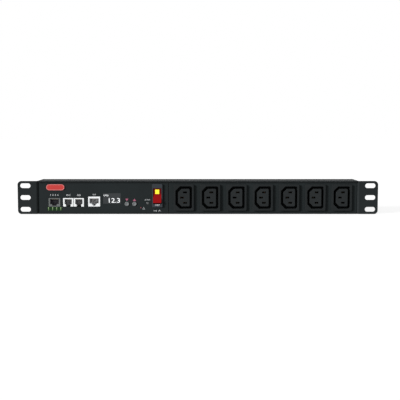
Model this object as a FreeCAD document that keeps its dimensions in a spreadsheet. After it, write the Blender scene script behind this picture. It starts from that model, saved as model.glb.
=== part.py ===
import FreeCAD, Part
import itertools
import math
import operator
import os
from types import SimpleNamespace

import Sketcher

# Rack power distribution unit, one rack unit high. X runs along the unit, Y from front to back, Z up.
# The origin is the centre of the rack slots, on the rack plane at the back of the ears.

OUTLETS = 7
BAR_LEDS = 4
WIDE_PORT_COUNT = 8
NARROW_PORT_COUNT = 6

# Driving dimensions in millimetres, angles in degrees
SIZES = {
    # Housing profile
    "profile_height": 44.4,
    "profile_depth": 45.0,
    "profile_wall": 1.6,
    "front_round": 0.8,
    "rear_round": 1.5,
    "lip_height": 1.9,
    "lip_depth": 1.7,
    "groove_wall": 1.0,
    "rib_height": 1.2,
    "rib_thickness": 1.4,
    "boss_radius": 2.5,
    "boss_inset": 1.9,
    "mid_boss_depth": 31.0,
    "rear_boss_depth": 40.0,
    # Rack ears and their screws
    "ear_reach": 27.9,
    "ear_height": 44.4,
    "ear_thickness": 2.0,
    "ear_round": 5.0,
    "bend_radius": 3.5,
    "slot_inset": 10.3,
    "slot_rise": 15.875,
    "slot_length": 14.0,
    "slot_width": 6.4,
    "screw_radius": 1.5,
    "screw_length": 9.0,
    "screw_head_radius": 2.8,
    "screw_head_height": 1.8,
    # Fits
    "slide_gap": 0.1,
    "pass_gap": 0.2,
    # Fascias
    "fascia_thickness": 2.0,
    "seam_lead": 8.05,
    "seam_width": 0.7,
    "outlet_pitch": 35.27,
    "outlet_end_room": 2.955,
    # Outlets
    "flange_width": 26.8,
    "flange_height": 35.2,
    "flange_thickness": 2.6,
    "flange_round": 1.6,
    "well_width": 22.2,
    "well_height": 30.2,
    "well_depth": 16.5,
    "well_chamfer": 6.0,
    "well_round": 2.4,
    "barrel_wall": 1.1,
    "barrel_back": 2.0,
    "core_width": 15.4,
    "core_height": 23.4,
    "core_chamfer": 4.7,
    "core_round": 1.4,
    "core_setback": 0.3,
    "core_face": 2.2,
    "pin_rise": 7.0,
    "pin_offset": 1.6,
    "earth_offset": 2.4,
    "pin_slot_width": 5.2,
    "pin_slot_height": 2.5,
    "chamber_width": 5.4,
    "chamber_height": 3.6,
    # Contacts and busbars
    "contact_width": 4.2,
    "contact_gap": 1.9,
    "leaf_thickness": 0.4,
    "leaf_length": 7.5,
    "tail_thickness": 0.8,
    "tail_overhang": 1.2,
    "bar_height": 5.2,
    "bar_thickness": 1.2,
    "bar_standoff": 4.0,
    "earth_bar_step": 4.0,
    "bar_lead": 18.0,
    "bar_end": 6.0,
    # Breaker
    "breaker_gap": 4.25,
    "bezel_width": 13.9,
    "bezel_height": 31.3,
    "bezel_centre": 2.6,
    "bezel_thickness": 2.0,
    "bezel_round": 1.2,
    "case_width": 13.0,
    "case_height": 28.6,
    "case_depth": 26.0,
    "rocker_width": 11.0,
    "rocker_face": 9.9,
    "rocker_ridge": 3.3,
    "rocker_back": 2.0,
    "rocker_taper": 0.7,
    "rocker_tilt": 8.0,
    "pivot_depth": 4.0,
    "pivot_height": 1.9,
    "pivot_radius": 1.4,
    "pivot_gap": 0.05,
    "lens_width": 5.5,
    "lens_length": 6.1,
    "lens_margin": 1.5,
    "lens_thickness": 1.0,
    "terminal_width": 6.3,
    "terminal_thickness": 0.8,
    "terminal_length": 8.0,
    "line_terminal_height": -5.4,
    "load_terminal_height": 10.0,
    # Badge and display
    "badge_margin": 10.3,
    "badge_height": 13.7,
    "badge_length": 24.4,
    "badge_width": 8.1,
    "badge_thickness": 1.0,
    "display_gap": 3.6,
    "display_height": -1.45,
    "window_width": 24.3,
    "window_height": 14.5,
    "window_thickness": 1.4,
    "window_setback": 0.2,
    "module_margin": 1.6,
    "module_thickness": 3.2,
    # Buttons and their switches
    "button_gap": 5.1,
    "button_spacing": 10.2,
    "button_height": -8.6,
    "button_radius": 2.9,
    "button_stand": 1.0,
    "button_edge": 0.5,
    "button_dish": 0.4,
    "button_collar": 0.9,
    "collar_thickness": 0.8,
    "stem_radius": 1.5,
    "switch_side": 6.0,
    "switch_height": 7.0,
    "switch_well": 2.8,
    "stem_overlap": 1.2,
    # Indicators
    "status_gap": 6.6,
    "status_height": -7.8,
    "status_radius": 1.6,
    "alarm_gap": 4.8,
    "alarm_height": -13.9,
    "alarm_radius": 1.0,
    "indicator_stand": 0.4,
    "indicator_dome": 0.5,
    "indicator_collar": 0.7,
    "bar_led_shift": 0.16,
    "bar_led_pitch": 5.44,
    "bar_led_width": 1.4,
    "bar_led_height": 4.8,
    "bar_led_centre": -15.4,
    # Modular jacks
    "jack_stand": 0.4,
    "jack_well_depth": 12.4,
    "jack_margin": 13.2,
    "sensor_top": -0.9,
    "sensor_width": 15.6,
    "sensor_height": 11.3,
    "serial_gap": 3.85,
    "serial_split": 0.7,
    "serial_top": -0.85,
    "serial_width": 13.6,
    "serial_height": 11.45,
    "serial_port_width": 9.7,
    "lan_gap": 5.75,
    "lan_top": 1.2,
    "lan_width": 15.9,
    "lan_height": 13.3,
    "lan_port_width": 12.4,
    "lan_skin": 0.5,
    "port_width": 11.7,
    "port_height": 6.9,
    "port_roof": 1.2,
    "serial_roof": 1.45,
    "lan_roof": 2.5,
    "latch_width": 6.2,
    "latch_depth": 2.2,
    "lan_latch_depth": 1.5,
    "latch_tip_width": 3.4,
    "latch_tip_depth": 1.4,
    "wire_contact_pitch": 1.02,
    "wire_contact_width": 0.5,
    "wire_contact_drop": 0.6,
    "wire_contact_length": 8.0,
    "wire_contact_inset": 2.6,
    # Control board and what it carries
    "board_standoff": 13.8,
    "board_thickness": 1.6,
    "board_gap": 3.1,
    "board_height": 36.0,
    "board_margin": 6.4,
    "standoff_radius": 2.6,
    "standoff_bore_depth": 6.0,
    "left_standoff_inset": 3.0,
    "right_standoff_inset": 11.0,
    "button_standoff_lead": 9.7,
    "upper_standoff_height": 14.8,
    "lower_standoff_height": -15.6,
    "supply_inset": 7.0,
    "supply_length": 36.0,
    "supply_height": 24.0,
    "supply_depth": 16.0,
    "supply_round": 1.5,
    "transformer_lead": 23.6,
    "transformer_length": 11.0,
    "transformer_radius": 6.0,
    "transformer_bore": 3.4,
    # Inlet at the back
    "inlet_gap": 15.0,
    "inlet_flange_width": 58.0,
    "inlet_flange_height": 30.0,
    "inlet_flange_thickness": 2.5,
    "inlet_flange_round": 4.0,
    "inlet_screw_spacing": 47.0,
    "inlet_well_width": 29.6,
    "inlet_well_height": 20.4,
    "inlet_well_depth": 18.5,
    "inlet_well_round": 2.0,
    "inlet_wall": 1.5,
    "inlet_back": 1.5,
    "inlet_pin_width": 8.0,
    "inlet_pin_thickness": 2.0,
    "inlet_pin_spread": 6.5,
    "inlet_pin_drop": 4.0,
    "inlet_pin_length": 16.5,
    "inlet_tail": 3.8,
    # Inner wires
    "wire_radius": 1.5,
    "wire_lane_height": 14.4,
    "wire_lane_depth": 31.0,
    "lane_lead": 24.0,
    "lane_step": 24.0,
    "lane_overrun": 3.55,
    "wire_lap": 12.0,
    "wire_run_up": 4.5,
    "earth_wire_turn": 2.25,
}

doc = FreeCAD.newDocument("rack_power_distribution_unit")
sheet = doc.addObject("Spreadsheet::Sheet", "sizes")
for row, (alias, number) in enumerate(SIZES.items(), start=1):
    sheet.set(f"A{row}", alias)
    sheet.set(f"B{row}", str(number))
    sheet.setAlias(f"B{row}", alias)
doc.recompute()


class Size:
    """A number together with the sheet expression that gives it."""

    SIGNS = {"+": operator.add, "-": operator.sub, "*": operator.mul, "/": operator.truediv}

    def __init__(self, number, text):
        self.number = number
        self.text = text

    @classmethod
    def of(cls, value):
        """A plain number stands for itself."""
        return value if isinstance(value, Size) else cls(float(value), repr(float(value)))

    @classmethod
    def joined(cls, left, sign, right):
        left = cls.of(left)
        right = cls.of(right)
        number = cls.SIGNS[sign](left.number, right.number)
        return cls(number, f"({left.text} {sign} {right.text})")

    def __add__(self, other):
        return Size.joined(self, "+", other)

    def __radd__(self, other):
        return Size.joined(other, "+", self)

    def __sub__(self, other):
        return Size.joined(self, "-", other)

    def __rsub__(self, other):
        return Size.joined(other, "-", self)

    def __mul__(self, other):
        return Size.joined(self, "*", other)

    def __rmul__(self, other):
        return Size.joined(other, "*", self)

    def __truediv__(self, other):
        return Size.joined(self, "/", other)

    def __neg__(self):
        return Size(-self.number, f"(-{self.text})")


def sine(angle):
    return Size(math.sin(math.radians(angle.number)), f"sin({angle.text})")


def cosine(angle):
    return Size(math.cos(math.radians(angle.number)), f"cos({angle.text})")


size = SimpleNamespace(**{alias: Size(number, f"sizes.{alias}") for alias, number in SIZES.items()})
free_rows = itertools.count(len(SIZES) + 1)


def derived(alias, length):
    """Keep a size that follows from others in the sheet, under its own name."""
    row = next(free_rows)
    sheet.set(f"A{row}", alias)
    sheet.set(f"B{row}", "=" + length.text.replace("sizes.", ""))
    sheet.setAlias(f"B{row}", alias)
    return Size(length.number, f"sizes.{alias}")


# Heights of the profile's section
half_height = size.profile_height / 2
inner_top = half_height - size.profile_wall
lip_edge = half_height - size.lip_height
groove_floor = half_height - size.groove_wall
rib_edge = inner_top - size.rib_height
boss_height = inner_top - size.boss_inset

# Depths from the rack plane
front = -size.ear_thickness
fascia_front = front + size.lip_depth
fascia_back = fascia_front + size.fascia_thickness
groove_back = fascia_back + size.slide_gap
rib_back = groove_back + size.rib_thickness
rear = front + size.profile_depth
rear_inner = rear - size.profile_wall
boss_depths = (front + size.mid_boss_depth, front + size.rear_boss_depth)
board_front = fascia_back + size.board_standoff
board_back = board_front + size.board_thickness
jack_front = fascia_front - size.jack_stand

# Places on the control fascia, from its left end, each after the one before
serial_start = derived("serial_start", size.jack_margin + size.sensor_width + size.serial_gap)
serial_reach = size.serial_width * 2 + size.serial_split
lan_start = derived("lan_start", serial_start + serial_reach + size.lan_gap)
display_start = derived("display_start", lan_start + size.lan_width + size.display_gap)
button_start = derived("button_start", display_start + size.window_width + size.button_gap)
button_end = button_start + size.button_spacing + size.button_radius * 2
alarm_start = derived("alarm_start", button_end + size.alarm_gap)
status_start = derived("status_start", alarm_start + size.alarm_radius * 2 + size.status_gap)
bezel_start = derived("bezel_start", status_start + size.status_radius * 2 + size.breaker_gap)
control_width = derived("control_width", bezel_start + size.bezel_width + size.seam_lead)

# Places along the unit
outlet_width = size.outlet_pitch * OUTLETS + size.outlet_end_room * 2
profile_length = derived("profile_length", control_width + outlet_width)
left_end = -profile_length / 2
right_end = profile_length / 2
seam = left_end + control_width
half_width = right_end + size.ear_reach
first_outlet = seam + size.outlet_end_room + size.outlet_pitch / 2
badge_x = left_end + size.badge_margin + size.badge_length / 2
sensor_x = left_end + size.jack_margin + size.sensor_width / 2
serial_x = left_end + serial_start + serial_reach / 2
serial_places = tuple(serial_x + (size.serial_width + size.serial_split) * side / 2 for side in (-1, 1))
lan_x = left_end + lan_start + size.lan_width / 2
display_x = left_end + display_start + size.window_width / 2
button_x = left_end + button_start + size.button_radius
button_places = (button_x, button_x + size.button_spacing)
alarm_x = left_end + alarm_start + size.alarm_radius
status_x = left_end + status_start + size.status_radius
breaker_x = left_end + bezel_start + size.bezel_width / 2
board_left = left_end + size.board_margin
board_right = breaker_x - size.case_width / 2 - size.board_gap
supply_left = board_left + size.supply_inset
inlet_x = supply_left + size.supply_length + size.inlet_gap + size.inlet_flange_width / 2
transformer_x = breaker_x - size.transformer_lead

# Depths of the outlets, contacts and busbars
outlet_front = fascia_front - size.flange_thickness
well_floor = outlet_front + size.well_depth
barrel_end = well_floor + size.barrel_back
core_front = outlet_front + size.core_setback
bar_front = barrel_end + size.bar_standoff
earth_bar_front = bar_front + size.earth_bar_step

# Breaker pivot and terminals
bezel_front = fascia_front - size.bezel_thickness
pivot_y = bezel_front + size.pivot_depth
case_back = fascia_front + size.case_depth

# Inlet depths
inlet_outer = rear + size.inlet_flange_thickness
inlet_floor = inlet_outer - size.inlet_well_depth
inlet_inner = inlet_floor - size.inlet_back
tail_middle = inlet_inner - size.inlet_tail / 2

# Stand-offs of the control board, clear of the jacks and the buttons
standoffs = (
    (board_left + size.left_standoff_inset, size.upper_standoff_height),
    (board_right - size.right_standoff_inset, size.upper_standoff_height),
    (serial_x, size.lower_standoff_height),
    (button_x - size.button_standoff_lead, size.lower_standoff_height),
)


def bind(target, path, length):
    target.setExpression(path, Size.of(length).text)


def place(target, x=0, y=0, z=0):
    for axis, length in zip("xyz", (x, y, z)):
        bind(target, f"Placement.Base.{axis}", length)


# Plain solids

ALONG = {
    "x": FreeCAD.Rotation(FreeCAD.Vector(0, 1, 0), 90),
    "y": FreeCAD.Rotation(FreeCAD.Vector(1, 0, 0), -90),
}


def box(name, x, y, z):
    """A block between a low and a high face on each axis."""
    block = doc.addObject("Part::Box", name)
    for side, (low, high) in zip(("Length", "Width", "Height"), (x, y, z)):
        bind(block, side, Size.joined(high, "-", low))
    place(block, x[0], y[0], z[0])
    return block


def rod(name, along, radius, start, length):
    """A round rod from a start point along the X or Y axis."""
    turned = doc.addObject("Part::Cylinder", name)
    turned.Placement = FreeCAD.Placement(FreeCAD.Vector(), ALONG[along])
    bind(turned, "Radius", radius)
    bind(turned, "Height", length)
    place(turned, *start)
    return turned


def cut(name, base, tool):
    result = doc.addObject("Part::Cut", name)
    result.Base = base
    result.Tool = tool
    return result


def fuse(name, shapes):
    result = doc.addObject("Part::MultiFuse", name)
    result.Shapes = shapes
    return result


def group(name, shapes):
    """Like pieces that share one node, each still a solid of its own."""
    result = doc.addObject("Part::Compound", name)
    result.Links = shapes
    return result


# Sketched solids

def new_body(name):
    body = doc.addObject("PartDesign::Body", name)
    body.AllowCompound = True
    return body


def sketch_on(body, name, plane, level=0):
    """A sketch on an origin plane, moved to a level along X, Y or Z; an XZ sketch faces the front."""
    sketch = body.newObject("Sketcher::SketchObject", name)
    support = next(feature for feature in body.Origin.OriginFeatures if feature.Role == plane)
    sketch.AttachmentSupport = [(support, "")]
    sketch.MapMode = "FlatFace"
    bind(sketch, "AttachmentOffset.Base.z", -Size.of(level) if plane == "XZ_Plane" else level)
    return sketch


def measure(sketch, kind, length, *where):
    index = sketch.addConstraint(Sketcher.Constraint(kind, *where, Size.of(length).number))
    bind(sketch, f"Constraints[{index}]", length)


def pin_point(sketch, curve, end, x, y):
    """Tie a point of a curve to its distances from the sketch's origin."""
    measure(sketch, "DistanceX", x, -1, 1, curve, end)
    measure(sketch, "DistanceY", y, -1, 1, curve, end)


def vector(point):
    return FreeCAD.Vector(*(Size.of(part).number for part in point))


def heading(start, end):
    """Unit step along X or Y from one corner towards the next."""
    steps = []
    for low, high in zip(start[:2], end[:2]):
        gap = Size.of(high).number - Size.of(low).number
        steps.append(0 if abs(gap) < 1e-6 else math.copysign(1, gap))
    return steps


def outline(sketch, corners):
    """A closed outline of straight sides. A third value at a square corner is its rounding radius."""
    count = len(corners)
    arrive = []
    leave = []
    for index, (x, y, *radius) in enumerate(corners):
        if not radius:
            arrive.append((x, y))
            leave.append((x, y))
            continue
        back = heading(corners[index], corners[index - 1])
        ahead = heading(corners[index], corners[(index + 1) % count])
        arrive.append((x + radius[0] * back[0], y + radius[0] * back[1]))
        leave.append((x + radius[0] * ahead[0], y + radius[0] * ahead[1]))
    sides = []
    for index in range(count):
        side = Part.LineSegment(vector((*leave[index], 0)), vector((*arrive[(index + 1) % count], 0)))
        sides.append(sketch.addGeometry(side))
    for index, (x, y, *radius) in enumerate(corners):
        before = sides[index - 1]
        after = sides[index]
        pin_point(sketch, after, 1, *leave[index])
        if not radius:
            sketch.addConstraint(Sketcher.Constraint("Coincident", before, 2, after, 1))
            continue
        pin_point(sketch, before, 2, *arrive[index])
        corner_arc(sketch, before, after, vector((x, y, 0)), radius[0])


def corner_arc(sketch, before, after, corner, radius):
    """A quarter arc that joins the end of one side to the start of the next."""
    start = sketch.getPoint(before, 2)
    end = sketch.getPoint(after, 1)
    centre = start + end - corner
    turn = (corner - start).cross(end - corner).z
    ends = (start, end) if turn > 0 else (end, start)
    angles = [math.atan2(point.y - centre.y, point.x - centre.x) for point in ends]
    circle = Part.Circle(centre, FreeCAD.Vector(0, 0, 1), Size.of(radius).number)
    arc = sketch.addGeometry(Part.ArcOfCircle(circle, *angles))
    first, last = (1, 2) if turn > 0 else (2, 1)
    sketch.addConstraint(Sketcher.Constraint("Coincident", before, 2, arc, first))
    sketch.addConstraint(Sketcher.Constraint("Coincident", arc, last, after, 1))
    measure(sketch, "Radius", radius, arc)


def rectangle(sketch, x, y, width, height, *radius):
    outline(sketch, [
        (x - width / 2, y - height / 2, *radius),
        (x + width / 2, y - height / 2, *radius),
        (x + width / 2, y + height / 2, *radius),
        (x - width / 2, y + height / 2, *radius),
    ])


def circle(sketch, x, y, radius):
    place_of = vector((x, y, 0))
    curve = sketch.addGeometry(Part.Circle(place_of, FreeCAD.Vector(0, 0, 1), Size.of(radius).number))
    pin_point(sketch, curve, 3, x, y)
    measure(sketch, "Radius", radius, curve)


def slot(sketch, x, y, length, width):
    """A round-ended slot along the sketch's first axis."""
    radius = width / 2
    reach = (length - width) / 2
    up = FreeCAD.Vector(0, 0, 1)
    ends = []
    for side, start in ((-1, math.pi / 2), (1, -math.pi / 2)):
        round_end = Part.Circle(vector((x + reach * side, y, 0)), up, radius.number)
        ends.append(sketch.addGeometry(Part.ArcOfCircle(round_end, start, start + math.pi)))
    left, right = ends
    sides = []
    for side in (-1, 1):
        begin = vector((x + reach * side, y + radius * side, 0))
        finish = vector((x - reach * side, y + radius * side, 0))
        sides.append(sketch.addGeometry(Part.LineSegment(begin, finish)))
    low, high = sides
    for first, first_end, second, second_end in ((left, 2, low, 1), (low, 2, right, 1),
                                                 (right, 2, high, 1), (high, 2, left, 1)):
        sketch.addConstraint(Sketcher.Constraint("Tangent", first, first_end, second, second_end))
    sketch.addConstraint(Sketcher.Constraint("Equal", left, right))
    pin_point(sketch, left, 3, x - reach, y)
    measure(sketch, "DistanceX", x + reach, -1, 1, right, 3)
    measure(sketch, "Radius", radius, left)


def feature(body, kind, name, sketch):
    result = body.newObject(f"PartDesign::{kind}", name)
    result.Profile = sketch
    return result


def pad_back(body, name, sketch, length):
    """Fill a front-facing sketch backwards."""
    result = feature(body, "Pad", name, sketch)
    result.Reversed = True
    bind(result, "Length", length)
    return result


def pad_both(body, name, sketch, length):
    """Fill a sketch by the same amount to both sides."""
    result = feature(body, "Pad", name, sketch)
    result.SideType = "Symmetric"
    bind(result, "Length", length)
    return result


def pocket_back(body, name, sketch, depth):
    """Cut a front-facing sketch backwards to a depth."""
    result = feature(body, "Pocket", name, sketch)
    bind(result, "Length", depth)
    return result


def pocket_both(body, name, sketch, length):
    """Cut a sketch by the same amount to both sides."""
    result = feature(body, "Pocket", name, sketch)
    result.SideType = "Symmetric"
    bind(result, "Length", length)
    return result


def repeat_along_x(body, name, originals, sketch, pitch):
    """Repeat features once for each outlet."""
    row_of = body.newObject("PartDesign::LinearPattern", name)
    row_of.Originals = originals
    row_of.Direction = (sketch, ["H_Axis"])
    bind(row_of, "Length", pitch * (OUTLETS - 1))
    row_of.Occurrences = OUTLETS
    body.Tip = row_of


def turned_body(name, half_section, x, z):
    """A body turned about an axis that runs front to back. Points are radius and depth."""
    body = new_body(name)
    section = sketch_on(body, f"{name}_section", "XY_Plane")
    outline(section, half_section)
    turning = feature(body, "Revolution", f"{name}_turning", section)
    turning.ReferenceAxis = (section, ["V_Axis"])
    turning.Angle = 360
    place(body, x, 0, z)
    return body


# Housing and rack ears

def housing_profile():
    """Extruded channel, open at the front, with fascia grooves, screw bosses and the inlet's cut-out."""
    body = new_body("housing_profile")
    section = sketch_on(body, "channel_section", "YZ_Plane")
    upper = [
        (front, lip_edge),
        (fascia_front, lip_edge),
        (fascia_front, groove_floor),
        (groove_back, groove_floor),
        (groove_back, rib_edge),
        (rib_back, rib_edge),
        (rib_back, inner_top),
        (rear_inner, inner_top),
    ]
    lower = [(y, -z) for y, z in reversed(upper)]
    outer = [
        (front, -half_height, size.front_round),
        (rear, -half_height, size.rear_round),
        (rear, half_height, size.rear_round),
        (front, half_height, size.front_round),
    ]
    outline(section, upper + lower + outer)
    pad_both(body, "channel", section, profile_length)
    bosses = sketch_on(body, "boss_section", "YZ_Plane")
    bores = sketch_on(body, "bore_section", "YZ_Plane")
    for y in boss_depths:
        for z in (boss_height, -boss_height):
            circle(bosses, y, z, size.boss_radius)
            circle(bores, y, z, size.screw_radius + size.slide_gap)
    pad_both(body, "screw_bosses", bosses, profile_length)
    pocket_both(body, "screw_bores", bores, profile_length)
    opening = sketch_on(body, "inlet_cutout", "XZ_Plane", rear_inner)
    rectangle(opening, inlet_x, Size.of(0), inlet_barrel_width() + size.pass_gap * 2,
              inlet_barrel_height() + size.pass_gap * 2)
    for side in (-1, 1):
        circle(opening, inlet_x + size.inlet_screw_spacing * side / 2, Size.of(0),
               size.screw_radius + size.slide_gap)
    pocket_back(body, "inlet_opening", opening, size.profile_wall)
    return body


def ear_bracket(name, side):
    """Folded sheet: a rack ear in front and a flange that closes the profile's end."""
    body = new_body(name)
    flange_inner = right_end
    flange_outer = right_end + size.ear_thickness
    section = sketch_on(body, f"{name}_section", "XY_Plane")
    fold = [
        (flange_inner, front, size.bend_radius),
        (half_width, front),
        (half_width, Size.of(0)),
        (flange_outer, Size.of(0), size.bend_radius - size.ear_thickness),
        (flange_outer, rear),
        (flange_inner, rear),
    ]
    outline(section, [(x * side, *rest) for x, *rest in fold])
    pad_both(body, f"{name}_fold", section, size.ear_height)
    slots = sketch_on(body, f"{name}_slots", "XZ_Plane", front)
    for row_of in (-1, 0, 1):
        slot(slots, (half_width - size.slot_inset) * side, size.slot_rise * row_of,
             size.slot_length, size.slot_width)
    pocket_back(body, f"{name}_slot_cuts", slots, size.ear_thickness)
    holes = sketch_on(body, f"{name}_holes", "YZ_Plane", right_end * side)
    for y in boss_depths:
        for z in (boss_height, -boss_height):
            circle(holes, y, z, size.screw_radius + size.pass_gap)
    drilled = pocket_both(body, f"{name}_hole_cuts", holes, size.ear_thickness * 3)
    doc.recompute()
    corner_edges = []
    for number, edge in enumerate(body.Shape.Edges, start=1):
        bounds = edge.BoundBox
        along_y = bounds.XLength < 1e-6 and bounds.ZLength < 1e-6
        if along_y and abs(abs(bounds.Center.x) - half_width.number) < 1e-6:
            corner_edges.append(f"Edge{number}")
    rounding = body.newObject("PartDesign::Fillet", f"{name}_corners")
    rounding.Base = (drilled, corner_edges)
    bind(rounding, "Radius", size.ear_round)
    body.Tip = rounding
    return body


def pan_screw(name, along, under_head, inward):
    """A screw with a round head. It points the way of inward, 1 or -1, from its seat under the head."""
    axis = "xyz".index(along)
    start = list(under_head)
    head_start = list(under_head)
    if inward < 0:
        start[axis] = start[axis] - size.screw_length
    else:
        head_start[axis] = head_start[axis] - size.screw_head_height
    shank = rod(f"{name}_shank", along, size.screw_radius, start, size.screw_length)
    head = rod(f"{name}_head", along, size.screw_head_radius, head_start, size.screw_head_height)
    return fuse(name, [shank, head])


def bracket_screws(name, side):
    seat = (right_end + size.ear_thickness) * side
    screws = []
    for y in boss_depths:
        for z in (boss_height, -boss_height):
            screws.append(pan_screw(f"{name}_{len(screws) + 1}", "x", (seat, y, z), -side))
    return group(name, screws)


# Fascias and badge

def fascia_plate(body, name, low, high):
    plate = sketch_on(body, f"{name}_plate", "XZ_Plane", fascia_front)
    reach = groove_floor - size.slide_gap
    outline(plate, [(low, -reach), (high, -reach), (high, reach), (low, reach)])
    pad_back(body, f"{name}_sheet", plate, size.fascia_thickness)


def control_fascia():
    """Plate at the left with the cut-outs for everything that is worked or read from the front."""
    body = new_body("control_fascia")
    fascia_plate(body, "control", left_end + size.slide_gap, seam - size.seam_width / 2)
    cuts = sketch_on(body, "control_cutouts", "XZ_Plane", fascia_front)
    gap = size.slide_gap
    jack_cut(cuts, sensor_x, size.sensor_width, size.sensor_top, size.sensor_height)
    jack_cut(cuts, serial_x, serial_reach, size.serial_top, size.serial_height)
    jack_cut(cuts, lan_x, size.lan_width, size.lan_top, size.lan_height)
    rectangle(cuts, display_x, size.display_height, size.window_width + gap * 2,
              size.window_height + gap * 2)
    for x in button_places:
        circle(cuts, x, size.button_height, size.button_radius + size.pass_gap)
    circle(cuts, status_x, size.status_height, size.status_radius + gap)
    circle(cuts, alarm_x, size.alarm_height, size.alarm_radius + gap)
    for x in bar_led_places():
        rectangle(cuts, x, size.bar_led_centre, size.bar_led_width + gap * 2, size.bar_led_height + gap * 2)
    rectangle(cuts, breaker_x, size.bezel_centre, size.case_width + gap * 2, size.case_height + gap * 2)
    pocket_back(body, "control_openings", cuts, size.fascia_thickness)
    return body


def jack_cut(sketch, x, width, top, height):
    rectangle(sketch, x, top - height / 2, width + size.slide_gap * 2, height + size.slide_gap * 2)


def outlet_fascia():
    """Plate at the right with a cut-out for each outlet."""
    body = new_body("outlet_fascia")
    fascia_plate(body, "outlet", seam + size.seam_width / 2, right_end - size.slide_gap)
    cuts = sketch_on(body, "outlet_cutout", "XZ_Plane", fascia_front)
    rectangle(cuts, first_outlet, Size.of(0), barrel_width() + size.pass_gap * 2,
              barrel_height() + size.pass_gap * 2)
    opening = pocket_back(body, "outlet_opening", cuts, size.fascia_thickness)
    repeat_along_x(body, "outlet_openings", [opening], cuts, size.outlet_pitch)
    return body


def badge_plate():
    """Pill-shaped plate on the control fascia."""
    body = new_body("badge_plate")
    shape = sketch_on(body, "badge_outline", "XZ_Plane", fascia_front - size.badge_thickness)
    slot(shape, badge_x, size.badge_height, size.badge_length, size.badge_width)
    pad_back(body, "badge", shape, size.badge_thickness)
    return body


# Outlets, contacts and busbars

def barrel_width():
    return size.well_width + size.barrel_wall * 2


def barrel_height():
    return size.well_height + size.barrel_wall * 2


def keyed_outline(sketch, width, height, chamfer, radius):
    """The outlet's keyed form: two corners cut off on the earth side."""
    outline(sketch, [
        (-width / 2 + chamfer, -height / 2),
        (width / 2, -height / 2, radius),
        (width / 2, height / 2, radius),
        (-width / 2 + chamfer, height / 2),
        (-width / 2, height / 2 - chamfer),
        (-width / 2, -height / 2 + chamfer),
    ])


def contact_places():
    """Live, neutral and earth contacts, from the outlet's centre."""
    return (
        (size.pin_offset, size.pin_rise),
        (size.pin_offset, -size.pin_rise),
        (-size.earth_offset, Size.of(0)),
    )


def contact_windows(sketch, width, height):
    for x, z in contact_places():
        rectangle(sketch, x, z, width, height)


def outlet_shell(name, x):
    """Flanged outer shell of an outlet, with the well that takes a plug's collar."""
    body = new_body(name)
    flange = sketch_on(body, f"{name}_flange", "XZ_Plane", outlet_front)
    rectangle(flange, Size.of(0), Size.of(0), size.flange_width, size.flange_height, size.flange_round)
    pad_back(body, f"{name}_rim", flange, size.flange_thickness)
    barrel = sketch_on(body, f"{name}_barrel", "XZ_Plane", fascia_front)
    rectangle(barrel, Size.of(0), Size.of(0), barrel_width(), barrel_height())
    pad_back(body, f"{name}_tube", barrel, barrel_end - fascia_front)
    well = sketch_on(body, f"{name}_well", "XZ_Plane", outlet_front)
    keyed_outline(well, size.well_width, size.well_height, size.well_chamfer, size.well_round)
    pocket_back(body, f"{name}_hollow", well, size.well_depth)
    windows = sketch_on(body, f"{name}_windows", "XZ_Plane", well_floor)
    contact_windows(windows, size.chamber_width, size.chamber_height)
    pocket_back(body, f"{name}_window_cuts", windows, size.barrel_back)
    place(body, x)
    return body


def outlet_core(name, x):
    """Inner block of an outlet, with a slot and a chamber for each contact."""
    body = new_body(name)
    block = sketch_on(body, f"{name}_outline", "XZ_Plane", core_front)
    keyed_outline(block, size.core_width, size.core_height, size.core_chamfer, size.core_round)
    pad_back(body, f"{name}_block", block, well_floor - core_front)
    slots = sketch_on(body, f"{name}_slots", "XZ_Plane", core_front)
    contact_windows(slots, size.pin_slot_width, size.pin_slot_height)
    pocket_back(body, f"{name}_slot_cuts", slots, size.core_face)
    chambers = sketch_on(body, f"{name}_chambers", "XZ_Plane", core_front + size.core_face)
    contact_windows(chambers, size.chamber_width, size.chamber_height)
    pocket_back(body, f"{name}_chamber_cuts", chambers, well_floor - core_front - size.core_face)
    place(body, x)
    return body


def contact_row(name, offset, height, bar_start):
    """Sprung clips of one pole, one in each outlet, with tails through that pole's busbar."""
    body = new_body(name)
    section = sketch_on(body, f"{name}_section", "YZ_Plane", first_outlet + offset)
    tip = well_floor - size.leaf_length
    inner = size.contact_gap / 2
    outer = inner + size.leaf_thickness
    web = well_floor - size.leaf_thickness
    tail = size.tail_thickness / 2
    tail_end = bar_start + size.bar_thickness + size.tail_overhang
    outline(section, [
        (tip, height + inner),
        (web, height + inner),
        (web, height - inner),
        (tip, height - inner),
        (tip, height - outer),
        (well_floor, height - outer),
        (well_floor, height - tail),
        (tail_end, height - tail),
        (tail_end, height + tail),
        (well_floor, height + tail),
        (well_floor, height + outer),
        (tip, height + outer),
    ])
    clip = pad_both(body, f"{name}_clip", section, size.contact_width)
    row_of = sketch_on(body, f"{name}_line", "XZ_Plane")
    repeat_along_x(body, f"{name}_row", [clip], row_of, size.outlet_pitch)
    return body


def busbar(name, offset, height, bar_start):
    """Flat bar that joins the tails of one pole."""
    body = new_body(name)
    strip = sketch_on(body, f"{name}_strip", "XZ_Plane", bar_start)
    low = first_outlet - size.bar_lead
    high = first_outlet + size.outlet_pitch * (OUTLETS - 1) + size.bar_end
    half = size.bar_height / 2
    bottom = height - half
    top = height + half
    outline(strip, [(low, bottom), (high, bottom), (high, top), (low, top)])
    pad_back(body, f"{name}_bar", strip, size.bar_thickness)
    slots = sketch_on(body, f"{name}_slot", "XZ_Plane", bar_start)
    rectangle(slots, first_outlet + offset, height, size.contact_width + size.slide_gap * 2,
              size.tail_thickness + size.slide_gap * 2)
    opening = pocket_back(body, f"{name}_slot_cut", slots, size.bar_thickness)
    repeat_along_x(body, f"{name}_slots", [opening], slots, size.outlet_pitch)
    return body


# Breaker

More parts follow.
